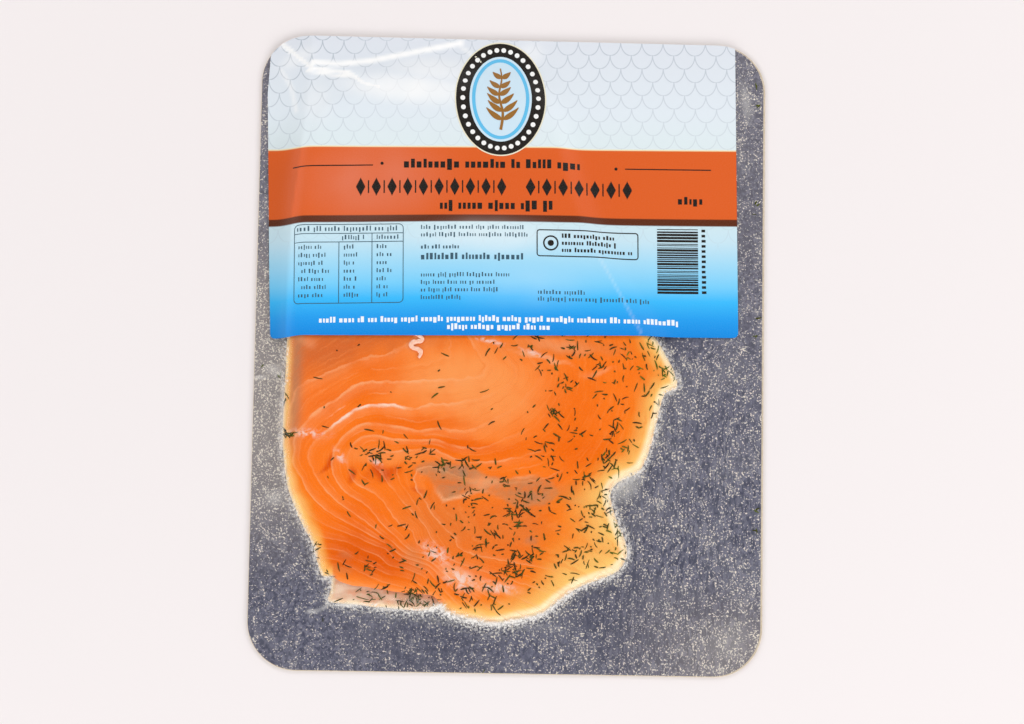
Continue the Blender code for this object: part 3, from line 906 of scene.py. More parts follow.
def dill_material(settings):
    tree = Tree("dill")
    streak = tree.noise(tree.scaled(tree.place(), 2500, 2500, 900), 3.0)
    colour = tree.mix(tree.attribute("freshness"), settings.dark, settings.fresh)
    colour = tree.mix(tree.range(streak, 0.35, 0.75, 0.0, 0.4), colour, tone("17170a"))
    shader = tree.node("BsdfPrincipled", {"Base Color": colour, "Roughness": 0.6, "Specular IOR Level": 0.15,
                                          "Normal": tree.bump(streak, 0.05 * MM, 0.5)})
    return tree.surface(shader)


# Pieces

def build_card(settings):
    """The board with its gold back and, on top, the silver laminate set a little to the left."""
    width, length = CARD_HIGH.x - CARD_LOW.x, CARD_HIGH.y - CARD_LOW.y
    corner_steps = 24

    def rounded_plate(low_x, high_x, low_y, high_y, radius, bottom, top, edge):
        mesh = bmesh.new()
        size = Matrix.Translation(((low_x + high_x) / 2, (low_y + high_y) / 2, bottom)) \
            @ Matrix.Diagonal((high_x - low_x, high_y - low_y, 1, 1))
        bmesh.ops.create_grid(mesh, x_segments=1, y_segments=1, size=0.5, matrix=size)
        bmesh.ops.bevel(mesh, geom=list(mesh.verts), offset=radius, offset_type="OFFSET",
                        segments=corner_steps, profile=0.5, affect="VERTICES", material=-1)
        grown = bmesh.ops.extrude_face_region(mesh, geom=list(mesh.faces))["geom"]
        raised_verts = [thing for thing in grown if isinstance(thing, bmesh.types.BMVert)]
        bmesh.ops.translate(mesh, verts=raised_verts, vec=(0, 0, top - bottom))
        bmesh.ops.recalc_face_normals(mesh, faces=mesh.faces)
        rims = [e for e in mesh.edges if {round(abs(f.normal.z)) for f in e.link_faces} == {0, 1}]
        bmesh.ops.bevel(mesh, geom=rims, offset=edge, offset_type="OFFSET", segments=3, profile=0.5,
                        affect="EDGES", material=-1)
        return mesh

    foil_thickness = 0.08 * MM
    board_top = CARD_TOP - foil_thickness
    board = rounded_plate(CARD_LOW.x, CARD_HIGH.x, CARD_LOW.y, CARD_HIGH.y, settings.corner,
                          CARD_LOW.z, board_top, 0.12 * MM)
    for face in board.faces:
        face.material_index = 1 if face.normal.z < -0.5 else 0
    finished(board, "card_board", [board_material(settings), gold_material(settings)], "card")
    inset = 0.15 * MM
    foil = rounded_plate(CARD_LOW.x + inset, CARD_HIGH.x - settings.bare_rim, CARD_LOW.y + 2 * inset,
                         CARD_HIGH.y - inset, settings.corner - inset, board_top, CARD_TOP, 0.03 * MM)
    finished(foil, "card_foil", [foil_material(settings)])


def thin_plate(places, values, ease=2.0):
    """A smooth field through values at places, as a function of an array of places."""
    places, values = np.array(places, float), np.array(values, float)

    def kernel(a, b):
        square = ((a[:, None] - b[None]) ** 2).sum(2)
        return square * np.log(np.maximum(square, 1e-9)) / 2

    flat = np.column_stack((np.ones(len(places)), places))
    system = np.block([[kernel(places, places) + ease * np.eye(len(places)), flat],
                       [flat.T, np.zeros((3, 3))]])
    weights = np.linalg.solve(system, np.concatenate((values, np.zeros(3))))

    def field(at):
        plane = np.column_stack((np.ones(len(at)), at)) @ weights[-3:]
        return kernel(at, places) @ weights[:-3] + plane

    return field


def blend_tones(settings, places, depth, covered):
    """The flesh's colour at each place, from its patches and its pale edge. covered is how far
    inside the under slice each place is, where the edge lies on fish and does not pale."""
    colours = np.tile(np.array(settings.flesh), (len(places), 1))

    def lay(name, share):
        nonlocal colours
        share = np.clip(share, 0, 1)[:, None]
        colours = colours * (1 - share) + np.array(getattr(settings, name)) * share

    wander = np.stack((uneven(places, 6, 1.0), uneven(places, 6, 5.0)), axis=1) * 2.2
    for name, middle, halves, turn, share in FLESH_PATCHES:
        lay(name, share * in_patch(places + wander, middle, halves, turn))
    inside = depth_inside(places + 0.4 * wander, np.array(DARK_MUSCLE, float)[::-1])
    mottled = 0.75 + 0.5 * uneven(places, 3.2, 6.0) + 0.4 * uneven(places, 1.6, 7.0)
    lay("muscle", mottled * smoothstep((inside + 0.7) / 1.8))
    well_in = smoothstep(inside / 1.5)
    lay("slate", 0.9 * mottled * well_in * in_patch(places + wander, (-19, -45.5), (9, 3.4), -4))
    lay("slate", 0.6 * mottled * in_patch(places + wander, (9, -55), (7, 3), -10))
    lay("slate", 0.5 * mottled * well_in * in_patch(places + wander, (-21, -52), (7, 3.4), 0))
    lay("dusky", 0.6 * in_patch(places, (-24, -50), (8, 1), -4))
    lay("pale", 0.45 * smoothstep(inside) * in_patch(places + wander, (-9, -50), (6, 2.6), 0))
    edge_line = np.exp(-((inside - 0.5) / 0.6) ** 2)
    lay("pale", 0.75 * edge_line * in_patch(places, (-20, -57), (13, 6), 8))
    direction = np.degrees(np.arctan2(places[:, 1] - HEAP_MIDDLE[1], places[:, 0] - HEAP_MIDDLE[0])) % 360
    reach = np.interp(direction, *PALE_EDGE)
    inward = (depth + 0.8 * uneven(places, 4, 2.0)) / reach
    strip = smoothstep((-58 - places[:, 1]) / 10) * smoothstep((-14 - places[:, 0]) / 12)
    thin = 1 - 0.9 * smoothstep((covered + 0.5) / 1.5) * strip
    lay("amber", 0.85 * thin * smoothstep(1.25 - inward))
    lay("yellow", 0.95 * thin * smoothstep((0.9 - inward) / 0.85))
    # A greyer band about 4 mm in from the left edge, in the slate tone
    left = smoothstep((-40 - places[:, 0]) / 30) * smoothstep((places[:, 1] + 50) / 25)
    lay("slate", 0.6 * left * np.exp(-((depth - 4.2) / 2.4) ** 2))
    lay("cream", 0.95 * thin * smoothstep((np.clip(reach * 0.3, 1.8, 4.2) - depth) / 2.2))
    return colours


def build_slice(settings, node, name, tones):
    tree = tree_of(node)
    outline = ragged(outline_of(node, steps=3), 0.35 * MM, 5 * MM)
    mesh = cut_grid(outline, settings.cell)
    head_room = 0.2 * MM

    def top(points):
        under_film = film_height(points) - creased(points, FILM_CREASES) - head_room
        return np.minimum(node_height(tree, points) + relief(points) * raised(points), under_film)

    def bottom(points):
        low = node_height(tree, points, looking_down=False)
        return np.where(low < CARD_TOP + 0.5 * MM, CARD_TOP + 0.02 * MM, low)

    give_thickness(mesh, top, bottom)
    piece = finished(mesh, name, [flesh_material(settings)], node, sharp=60)
    places = vertex_places(piece)[:, :2] / MM
    depth = np.maximum(depth_inside(places, outline / MM), 0)
    tones(piece, places, depth)
    return piece


def note_fat_lines(piece, places):
    """Where the fat lines run: their order, the spacing between them, their width and strength."""
    lines = {order: seen_places(path, SEEN_FISH_LEVEL) for order, path in FAT_LINES_SEEN.items()}
    points, orders = zip(*((place, order) for order, line in lines.items() for place in line))
    field = thin_plate(points, orders)
    order = field(places)
    step = 0.5
    slope = np.hypot(field(places + (step, 0)) - field(places - (step, 0)),
                     field(places + (0, step)) - field(places - (0, step))) / (2 * step)
    strength = np.interp(order, *LINE_STRENGTHS)
    x, y = places.T
    strength *= np.where(y > -40, 0.35 + 0.65 * smoothstep((4 - x) / 44), 1) * smoothstep((24 - x) / 16)
    for middle, halves, turn, share in FAINT_FAT:
        strength *= 1 - share * in_patch(places, middle, halves, turn)
    strength *= 1 - 0.35 * smoothstep((-52 - y) / 10)
    low = smoothstep((-62 - y) / 8)
    strength *= np.where(order < 0.5, low, 1)
    for middle, halves, turn, share in BOLD_FAT:
        strength += share * in_patch(places, middle, halves, turn) * (np.abs(order - 3) < 0.5)
    strength *= 1 - 0.9 * in_patch(places, (-12, -50), (24, 6), -3)
    strength *= 1 - 0.6 * smoothstep((x + 22) / 20) * smoothstep((y + 40) / 15)
    note_values(piece, "fat_order", order)
    note_values(piece, "fat_spacing", np.clip(1 / np.maximum(slope, 1e-3), 1.5, 14))
    note_values(piece, "fat_width", np.interp(y, (-70, -50, -25, 0), (0.34, 0.42, 0.75, 0.65)))
    note_values(piece, "fat_strength", np.clip(strength, 0, 1))


def build_salmon(settings):
    def top_tones(piece, places, depth):
        covered = depth_inside(places, outline_of("slice_under", steps=2) / MM)
        note_values(piece, "flesh_tone", blend_tones(settings, places, depth, covered))
        note_fat_lines(piece, places)
        curds = [in_patch(places, middle, halves, turn) for middle, halves, turn in WHITE_FAT]
        note_values(piece, "white_fat", np.max(curds, axis=0))

    def under_tones(piece, places, depth):
        count = len(places)
        along = places * (0.35, 1)
        streak = 0.4 * smoothstep(0.5 + 1.6 * uneven(along, 1.6, 4.0))
        streak = streak + 0.35 * smoothstep((places[:, 0] + 66) / 40)
        streak = np.clip(streak, 0, 1)[:, None]
        colours = np.array(settings.under) * (1 - streak) + np.array(settings.muscle) * streak
        edge = smoothstep((2.4 - depth) / 2.4)[:, None] * 0.9
        note_values(piece, "flesh_tone", colours * (1 - edge) + np.array(settings.cream) * edge)
        for name, value in (("fat_order", 0.5), ("fat_spacing", 9), ("fat_width", 0.4), ("fat_strength", 0),
                            ("white_fat", 0.12)):
            note_values(piece, name, np.full(count, float(value)))

    build_slice(settings, "slice_under", "slice_under_flesh", under_tones)
    top = build_slice(settings, "slice_top", "slice_top_flesh", top_tones)
    build_squiggle(top)


def sampled(path, step):
    """Places an even step apart along a Catmull-Rom curve through the path."""
    knots = np.array([path[0], *path, path[-1]], float)
    fine = []
    for a, b, c, d in zip(knots, knots[1:], knots[2:], knots[3:]):
        for t in np.linspace(0, 1, 12, endpoint=False):
            fine.append(0.5 * (2 * b + (c - a) * t + (2 * a - 5 * b + 4 * c - d) * t ** 2
                               + (3 * b - a - 3 * c + d) * t ** 3))
    fine = np.array([*fine, knots[-1]])
    length = np.concatenate(([0], np.cumsum(np.linalg.norm(np.diff(fine, axis=0), axis=1))))
    at = np.linspace(0, length[-1], max(2, int(length[-1] / step) + 1))
    return np.column_stack([np.interp(at, length, fine[:, i]) for i in range(2)])


def tube_template(rings, sides):
    """A plain tube of unit radius along +Z from 0 to 1, with its rings in order of height."""
    mesh = bmesh.new()
    bmesh.ops.create_cone(mesh, cap_ends=True, cap_tris=False, segments=sides, radius1=1, radius2=1, depth=1)
    bmesh.ops.translate(mesh, verts=mesh.verts, vec=(0, 0, 0.5))
    upright = [e for e in mesh.edges if abs(e.verts[0].co.z - e.verts[1].co.z) > 0.5]
    bmesh.ops.subdivide_edges(mesh, edges=upright, cuts=rings - 2)
    data = bpy.data.meshes.new("tube template")
    mesh.to_mesh(data)
    mesh.free()
    places = np.empty(len(data.vertices) * 3, np.float32)
    data.vertices.foreach_get("co", places)
    return data, places.reshape(-1, 3).astype(float)


def bent_tube(template, path, radii, flatness, floor):
    """The template's vertices laid along a path on a surface, flattened, all in metres."""
    share = template[:, 2]
    at = np.linspace(0, 1, len(path))
    middle = np.column_stack([np.interp(share, at, path[:, i]) for i in range(2)])
    slope = np.gradient(path, axis=0)
    slope /= np.maximum(np.linalg.norm(slope, axis=1), 1e-12)[:, None]
    along = np.column_stack([np.interp(share, at, slope[:, i]) for i in range(2)])
    radius = np.interp(share, np.linspace(0, 1, len(radii)), radii)
    aside = template[:, 0] * radius
    up = template[:, 1] * radius * flatness
    flat = middle + np.column_stack((-along[:, 1], along[:, 0])) * aside[:, None]
    return np.column_stack((flat, floor(middle) + radius.max() * flatness + up))


def join_copies(template_mesh, places, name, materials):
    """One piece of many copies of the template, each with its own places."""
    mesh = bmesh.new()
    for _ in places:
        mesh.from_mesh(template_mesh)
    count = len(places)
    piece = finished(mesh, name, materials, sharp=80)
    piece.data.vertices.foreach_set("co", np.concatenate(places).astype(np.float32).ravel())
    piece.data.update()
    bpy.data.meshes.remove(template_mesh)
    piece["copies"] = count
    return piece


def surface_of(piece):
    """The height of a finished piece's upper side, as a function of an array of places."""
    mesh = bmesh.new()
    mesh.from_mesh(piece.data)
    tree = BVHTree.FromBMesh(mesh)
    mesh.free()
    return lambda points: node_height(tree, points)


def build_squiggle(top):
    """A thread of white fat that lies on the top slice at the label's front edge."""
    data, template = tube_template(60, 8)
    path = sampled(FAT_SQUIGGLE, 0.4) * MM
    along = np.linspace(0, 1, len(path))
    radii = np.interp(along, (0, 0.2, 0.4, 0.85, 1), (0.3, 0.55, 0.85, 0.9, 0.6)) * MM
    radii *= 1 + 0.45 * uneven(path / MM, 1.1, 8.0)
    floor = surface_of(top)
    tree = Tree("white fat")
    soft = tree.noise(tree.scaled(tree.place(), 1300, 1300), 3.0)
    colour = tree.mix(tree.range(soft, 0.35, 0.7, 0.0, 0.5), tone("fdd0b8"), tone("f7a27c"))
    shader = tree.node("BsdfPrincipled", {"Base Color": colour, "Roughness": 0.4,
                                          "Normal": tree.bump(soft, 0.1 * MM, 0.5)})
    places = bent_tube(template, path, radii, 0.35, floor)
    join_copies(data, [places], "fat_thread", [tree.surface(shader)])


def build_film(settings):
    outline = outline_of("film")
    mesh = cut_grid(outline, settings.cell)
    gap = settings.thickness + 0.02 * MM
    give_thickness(mesh, film_height, lambda points: film_height(points) - gap)
    film = finished(mesh, "skin_film", [film_material(settings)], "film")
    places = vertex_places(film)[:, :2] / MM
    heap = outline_of("slice_top", steps=2) / MM
    under = outline_of("slice_under", steps=2) / MM
    depth = np.maximum(depth_inside(places, heap), depth_inside(places, under))
    direction = np.degrees(np.arctan2(places[:, 1] - HEAP_MIDDLE[1], places[:, 0] - HEAP_MIDDLE[0])) % 360
    # The white rim at the slices' foot and its sparkles, strongest at the front: partly the film's white
    # haze, partly painted highlight and painted glints where the film's slopes would mirror the low lamps.
    foot = np.interp(direction, (0, 40, 90, 170, 200, 230, 265, 300, 330, 360),
                     (0.55, 0.4, 0.25, 0.4, 0.45, 0.6, 1.0, 0.75, 0.6, 0.55))
    breadth = np.interp(direction, (0, 90, 180, 235, 275, 330, 360), (0.7, 0.6, 0.7, 0.9, 1.5, 0.75, 0.7))
    foot = foot * (0.8 + 0.5 * uneven(places, 5, 12.0))
    haze_and_glint = foot * np.exp(-((depth + 0.4) / (0.5 * breadth)) ** 2)
    sparkle = foot * np.exp(-(np.maximum(-depth - 0.5, 0) / (2.2 * breadth)) ** 2)
    off_fish = 1 - smoothstep((depth + 0.5) / 2)
    for middle, halves, turn, share in FILM_HAZE:
        haze_and_glint = np.maximum(haze_and_glint, 0.6 * share * in_patch(places, middle, halves, turn) * off_fish)
    for path, _, half_width in FILM_CREASES:
        haze_and_glint = np.maximum(haze_and_glint, 0.3 * np.exp(-(along_path(places, path) / half_width) ** 2))
    note_values(film, "haze_and_glint", np.clip(haze_and_glint, 0, 1))
    note_values(film, "sparkle", np.clip(sparkle * (depth < 0.6), 0, 1))
    web = in_patch(places, *FILM_HAZE[0][:3])
    crumple = np.maximum(web, 0.6 * np.exp(-((depth + 1.5) / 3) ** 2))
    note_values(film, "crumple", np.clip(crumple + 0.12, 0, 1))


def label_place(print_places):
    """Places in the print, in millimetres, as places on the card, in metres."""
    spots = np.array(print_places, float).reshape(-1, 2)
    cos, sin = math.cos(LABEL_TURN), math.sin(LABEL_TURN)
    turned = np.column_stack((spots[:, 0] * cos - spots[:, 1] * sin, spots[:, 0] * sin + spots[:, 1] * cos))
    return (turned + LABEL_PIVOT) * MM


def print_place(points):
    """Places on the card, in metres, as places in the print, in millimetres."""
    offset = points / MM - LABEL_PIVOT
    cos, sin = math.cos(LABEL_TURN), math.sin(LABEL_TURN)
    across, up = offset.T
    return np.column_stack((across * cos + up * sin, -across * sin + up * cos))


def bow(spots):
    """How far up the print and the front edge are drawn at each place, in millimetres. The paper
    is bowed up over the slices and drops where it leaves them at the left."""
    across, up = spots.T
    over_heap = 1.1 * np.exp(-((across + 8) / 48) ** 2)
    off_heap = 1.0 * smoothstep((-76 - across) / 12)
    return over_heap * smoothstep((85 - up) / 60) - off_heap * smoothstep((100 - up) / 40)


def build_label(settings):
    outline = outline_of("label")
    spots = print_place(outline)
    spots[:, 1] += np.where(spots[:, 1] < 10, bow(spots), 0)
    # The left edge leans out towards the back corner
    lean = np.interp(spots[:, 1], (0, 92, 106), (0.7, -1.4, 0))
    spots[:, 0] += lean * smoothstep((-76 - spots[:, 0]) / 6)
    mesh = cut_grid(label_place(spots), settings.cell)
    give_thickness(mesh, label_height, lambda points: label_height(points) - settings.thickness)
    label = finished(mesh, "label_sheet", [label_material(settings)], "label")
    points = vertex_places(label)[:, :2]
    spots = print_place(points)
    spots[:, 1] -= bow(spots)
    note_values(label, "print_place", np.column_stack((spots, np.zeros(len(spots)))))
    # The folds' white tint and the sheen patches are painted highlights in the paper's colour.
    crease = creased(points, LABEL_CREASES) / MM
    note_values(label, "crease", np.clip(crease / 0.3, 0, 1))
    sheen = [share * in_patch(spots, middle, halves, turn) for middle, halves, turn, share in LABEL_SHEEN]
    note_values(label, "sheen", np.max(sheen, axis=0) * (0.85 + 0.3 * uneven(spots, 9, 7.0)))
    # The flap left of this fold gets painted shade.
    fold = np.interp(spots[:, 1], (0, 47, 72, 110), (-83.5, -81.5, -78, -74))
    note_values(label, "flap_shade", smoothstep((fold - spots[:, 0]) / 1.2 + 0.5))


def lay_on_label(mesh, lift):
    """Makes flat print a thin film that lies this far over the label's own faces."""
    heights = {}

    def surface(points):
        if "tree" not in heights:
            heights["tree"] = surface_of(bpy.data.objects["label_sheet"])
        return heights["tree"](points)

    give_thickness(mesh, lambda at: surface(at) + lift, lambda at: surface(at) + lift - Print.film)


class Print:
    """Flat shapes in the label's print, gathered by ink and laid on the label as thin films."""

    tile = 0.9
    film = 0.015 * MM

    def __init__(self):
        self.mesh = bmesh.new()

    def bar(self, low, high):
        """A rectangle between two opposite corners."""
        low, high = np.minimum(low, high), np.maximum(low, high)
        span, middle = high - low, (low + high) / 2
        across, up = (max(1, math.ceil(s / self.tile)) for s in span)
        place = Matrix.Translation((*middle, 0)) @ Matrix.Diagonal((span[0], span[1], 1, 1))
        bmesh.ops.create_grid(self.mesh, x_segments=across, y_segments=up, size=0.5, matrix=place)

    def disc(self, middle, radius):
        bmesh.ops.create_circle(self.mesh, cap_ends=True, segments=16, radius=radius,
                                matrix=Matrix.Translation((*middle, 0)))

    def lozenge(self, middle, half_width, half_length):
        """An upright lozenge, in rows of tiles small enough to follow the label's surface."""
        rows = 16
        height = 2 * half_length / rows
        for row in range(rows):
            low = middle[1] - half_length + row * height
            reach = half_width * (1 - abs(2 * row + 1 - rows) / rows)
            self.bar((middle[0] - reach, low), (middle[0] + reach, low + height))

    def path(self, points, width):
        """A line of even width along a path of straight runs."""
        points = np.array(points, float)
        pieces = []
        for start, end in zip(points, points[1:]):
            count = max(1, math.ceil(np.linalg.norm(end - start) / self.tile))
            pieces.extend(start + (end - start) * i / count for i in range(count))
        self.ribbon(np.array([*pieces, points[-1]]), np.full(len(pieces) + 1, width))

    def ribbon(self, points, widths):
        """A line along close-set points, with a width at each."""
        slope = np.gradient(points, axis=0)
        slope /= np.linalg.norm(slope, axis=1)[:, None]
        aside = np.column_stack((-slope[:, 1], slope[:, 0])) * np.array(widths)[:, None] / 2
        sides = [[self.mesh.verts.new((*p, 0)) for p in side] for side in (points - aside, points + aside)]
        for i in range(len(points) - 1):
            self.mesh.faces.new((sides[0][i], sides[0][i + 1], sides[1][i + 1], sides[1][i]))

    def finish(self, name, material, lift):
        spots = places_of(self.mesh)
        spots[:, 1] += bow(spots)
        points = label_place(spots)
        for vert, (x, y) in zip(self.mesh.verts, points):
            vert.co.xy = (x, y)
        lay_on_label(self.mesh, lift)
        finished(self.mesh, name, [material])


def word_row(ink, dice, start, end, base, height, bold=0.72):
    """A row of plain blocks in groups, where a line of small print would be."""
    letter = height * 0.62
    at = start
    while at < end - letter:
        for _ in range(dice.randint(2, 9)):
            width = letter * dice.uniform(0.6, 1.15)
            if at + width > end:
                return
            low = base - (height * 0.25 if dice.random() < 0.12 else 0)
            high = base + height * (1.0 if dice.random() < 0.3 else 0.7)
            ink.bar((at, low), (at + width * bold, high))
            at += width + letter * 0.16
        at += letter * 0.75


def rounded_box(low, high, radius):
    """The corners of a box with small round corners, as a closed path."""
    corners = []
    for quarter in range(4):
        middle = (quarter + 0.5) * math.pi / 2
        x = high[0] - radius if math.cos(middle) > 0 else low[0] + radius
        y = high[1] - radius if math.sin(middle) > 0 else low[1] + radius
        for step in range(5):
            angle = (quarter + step / 4) * math.pi / 2
            corners.append((x + radius * math.cos(angle), y + radius * math.sin(angle)))
    return corners + corners[:1]


def print_headings(ink, dice):
    """Lozenges for the heading, rows over and under it, and a rule to either side."""
    for start, end, count in ((-57.2, 2.8, 10), (7.8, 51.6, 7)):
        pitch = (end - start) / count
        for i in range(count):
            middle, low, high = start + (i + 0.36) * pitch, 53.6, 60.6
            ink.lozenge((middle, (low + high) / 2), 0.3 * pitch, (high - low) / 2)
            if i < count - 1:
                ink.bar((middle + 0.46 * pitch, low + 1), (middle + 0.54 * pitch, high - 1))
    word_row(ink, dice, -38.5, 32.8, 64.6, 3.5, 0.8)
    word_row(ink, dice, -24.7, 20.6, 48.2, 3.5, 0.8)
    ink.path(((-81.1, 65.2), (-68, 65.4), (-50.4, 65.6)), 0.42)
    ink.path(((46.8, 65.5), (80.1, 65.3)), 0.42)
    ink.disc((-46.9, 66.3), 0.62)
    ink.disc((43.3, 65.5), 0.62)
    word_row(ink, dice, 67.2, 78.2, 51.8, 3.0)


def print_table(ink, dice):
    """A ruled box of small rows, as on the back half of any food label."""
    left, right, bottom, top = -80.2, -38.7, 12.0, 42.4
    line = 0.28
    ink.path(rounded_box((left, bottom), (right, top), 1.6), line)
    for height in (38.9, 35.6):
        ink.path(((left, height), (right, height)), line)
    for across, high in ((-63.2, 35.6), (-50.6, 38.9)):
        ink.path(((across, bottom), (across, high)), line)
    word_row(ink, dice, left + 1, right - 1, 39.9, 1.9, 0.5)
    word_row(ink, dice, -62, -52.5, 36.6, 1.7, 0.5)
    word_row(ink, dice, -48.8, -40, 36.6, 1.7, 0.5)
    rows, indented_rows, indent = 7, (3, 5), 1.2
    for row in range(rows):
        base = 33.0 - row * 3.1
        start = left + 1.6 + indent * (row in indented_rows)
        word_row(ink, dice, start, dice.uniform(-70, -66), base, 1.6, 0.5)
        word_row(ink, dice, -61.3, dice.uniform(-57.5, -55), base, 1.6, 0.5)
        word_row(ink, dice, -48.8, dice.uniform(-45, -42), base, 1.6, 0.5)


def print_small_lines(ink, dice):
    for start, end, base, height, bold in (
            (-31.9, 8, 40.3, 1.6, 0.5), (-31.9, 10, 37.4, 1.6, 0.5), (-31.9, -17, 32.6, 1.6, 0.6),
            (-31.9, 8.6, 28.4, 2.5, 0.72), (12.8, 31.2, 15.3, 1.7, 0.5), (12.8, 56.8, 12.7, 1.7, 0.5)):
        word_row(ink, dice, start, end, base, height, bold)
    for row, end in enumerate((2.5, -2.5, -1.5, -16)):
        word_row(ink, dice, -31.9, end, 21.8 - row * 2.9, 1.6, 0.5)


def print_boxed_mark(ink, dice):
    """A small box with a disc in a ring, and three rows beside it."""
    ink.path(rounded_box((12.5, 30.0), (51.6, 40.2), 1.0), 0.42)
    ring = oval((17.75, 35.1), 2.7, 2.7, count=24)
    ink.path((*ring, ring[0]), 0.6)
    ink.disc((17.75, 35.1), 1.2)
    for row, end in enumerate((43.5, 44.5, 49.8)):
        word_row(ink, dice, 22.0, end, 37.2 - row * 2.75, 1.7, 0.7)


def print_bar_code(ink, dice):
    """Bars across the label, of widths thrown by dice."""
    low, high, at = 59.0, 74.8, 42.1
    while at > 16.8:
        thick = dice.choice((0.3, 0.3, 0.6, 0.6, 0.9))
        ink.bar((low, max(at - thick, 16.6)), (high, at))
        at -= thick + dice.choice((0.3, 0.3, 0.6))
    for row in range(13):
        base = 41.0 - row * 2.0
        ink.bar((76.2, base), (76.2 + dice.uniform(1.3, 1.8), base + 1.0))


def print_panel(outline, lift, name, material, cell=1.0):
    """One flat field of colour inside an outline in the print."""
    mesh = cut_grid(label_place(outline + np.array((0, 1)) * bow(outline)[:, None]), cell * MM)
    lay_on_label(mesh, lift)
    finished(mesh, name, [material])


def oval(middle, half_width, half_length, low=0.0, high=2 * math.pi, count=72):
    angles = np.linspace(low, high, count, endpoint=high - low < 2 * math.pi - 1e-6)
    return np.column_stack((middle[0] + half_width * np.cos(angles),
                            middle[1] + half_length * np.sin(angles)))


def build_medallion(settings):
    """An upright oval badge: a sprig of herb on a pale field, in a dark border of white beads."""
    middle, half_width, half_length, border = np.array((-1.4, 92.2)), 17.2, 22.4, 5.2
    layer = 0.035 * MM
    print_panel(oval(middle, half_width + 0.5, half_length + 0.5), 1.5 * layer, "badge_halo",
                ink_material("cream ink", tone("efe9d0")))
    print_panel(oval(middle, half_width, half_length), 2.5 * layer, "badge_border",
                ink_material("badge black", settings.ink))
    print_panel(oval(middle, half_width - border, half_length - border), 3.5 * layer, "badge_field",
                ink_material("badge sky", tone("cfe6f4")))
    ring = Print()
    ring.path(oval(middle, half_width - border - 1.6, half_length - border - 1.6, count=60).tolist()
              + [(middle[0] + half_width - border - 1.6, middle[1])], 1.3)
    ring.finish("badge_ring", ink_material("badge blue", tone("63c0ec")), 4.5 * layer)
    beads = Print()
    for place in oval(middle, half_width - border / 2, half_length - border / 2, count=34):
        beads.disc(place, 0.95)
    beads.finish("badge_beads", ink_material("badge white", tone("f4f4f2")), 4.5 * layer)
    sprig = Print()
    stem = sampled(((0, -12.5), (0.8, -6), (-0.6, 1), (0.5, 8), (0, 12.5)), 0.8)
    sprig.ribbon(stem + middle, np.linspace(1.1, 0.5, len(stem)))
    pairs = 6
    for pair in range(pairs):
        foot = stem[int((pair + 1.2) * len(stem) / (pairs + 1.6))]
        length = 6.2 - 0.55 * pair
        for side in (-1, 1):
            share = np.linspace(0, 1, 9)[:, None]
            leaf = foot + np.hstack((side * length * share, length * (0.35 * share + 0.4 * share ** 2)))
            sprig.ribbon(leaf + middle, 0.25 + 1.9 * np.sin(math.pi * share[:, 0] ** 0.8))
    sprig.finish("badge_sprig", ink_material("badge herb", tone("9a6a2c")), 5.5 * layer)


def build_print(settings):
    dice = random.Random(11)
    dark = Print()
    for draw in (print_headings, print_boxed_mark, print_bar_code):
        draw(dark, dice)
    dark.finish("dark_print", ink_material("dark ink", settings.ink), 0.03 * MM)
    small = Print()
    for draw in (print_table, print_small_lines):
        draw(small, dice)
    small.finish("small_print", ink_material("thin ink", settings.thin_ink), 0.03 * MM)
    white = Print()
    word_row(white, dice, -70.6, 68.0, 4.6, 2.2, 0.8)
    word_row(white, dice, -21.9, 18.5, 1.5, 2.2, 0.8)
    white.finish("white_print", ink_material("white ink", tone("f3f8fc")), 0.03 * MM)


def dill_threads(settings):
    """Each thread's middle, heading, length, width and freshness, in millimetres."""
    dice = random.Random(settings.seed)
    mean, wide = settings.length / MM, settings.width / MM
    heap = outline_of("slice_top", steps=2) / MM
    under = outline_of("slice_under", steps=2) / MM
    threads = []

    def drop(x, y, length, freshness):
        heading = dice.uniform(0, 2 * math.pi)
        threads.append((x, y, heading, length, wide * dice.uniform(0.65, 1.2), freshness))

    tufts = seen_places([tuft[:2] for tuft in DILL_TUFTS_SEEN], SEEN_FISH_LEVEL)
    for (x, y), (_, _, count, spread) in zip(tufts, DILL_TUFTS_SEEN):
        fresh = 0.15 + 0.5 * (x > 40) + 0.2 * (y < -95)
        for _ in range(round(count * 0.8)):
            drop(x + dice.gauss(0, spread * 0.75), y + dice.gauss(0, spread * 0.6),
                 mean * dice.uniform(0.4, 1.4), min(1.0, max(0.0, dice.gauss(fresh, 0.22))))
    for (x, y), (half_x, half_y), count in DILL_STREWN:
        for _ in range(count):
            away, angle = math.sqrt(dice.random()), dice.uniform(0, 2 * math.pi)
            drop(x + half_x * away * math.cos(angle), y + half_y * away * math.sin(angle),
                 mean * dice.choice((0.25, 0.4, 0.6, 0.9, 1.2)) * dice.uniform(0.8, 1.2),
                 min(1.0, max(0.0, dice.gauss(0.18, 0.15))))
    middles = np.array([thread[:2] for thread in threads])
    depth = np.maximum(depth_inside(middles, heap), depth_inside(middles, under))
    kept = [thread for thread, inside in zip(threads, depth) if inside > 0.2]
    threads = []
    furthest = CARD_HIGH.x / MM - mean
    for x, y in seen_places(DILL_STRAYS_SEEN, SEEN_CARD_LEVEL):
        x = max(-furthest, min(x, furthest))
        for _ in range(dice.randint(1, 2)):
            drop(x + dice.gauss(0, 0.4), y + dice.gauss(0, 0.4),
                 mean * dice.uniform(0.5, 0.9), dice.uniform(0.2, 0.9))
    return kept, threads


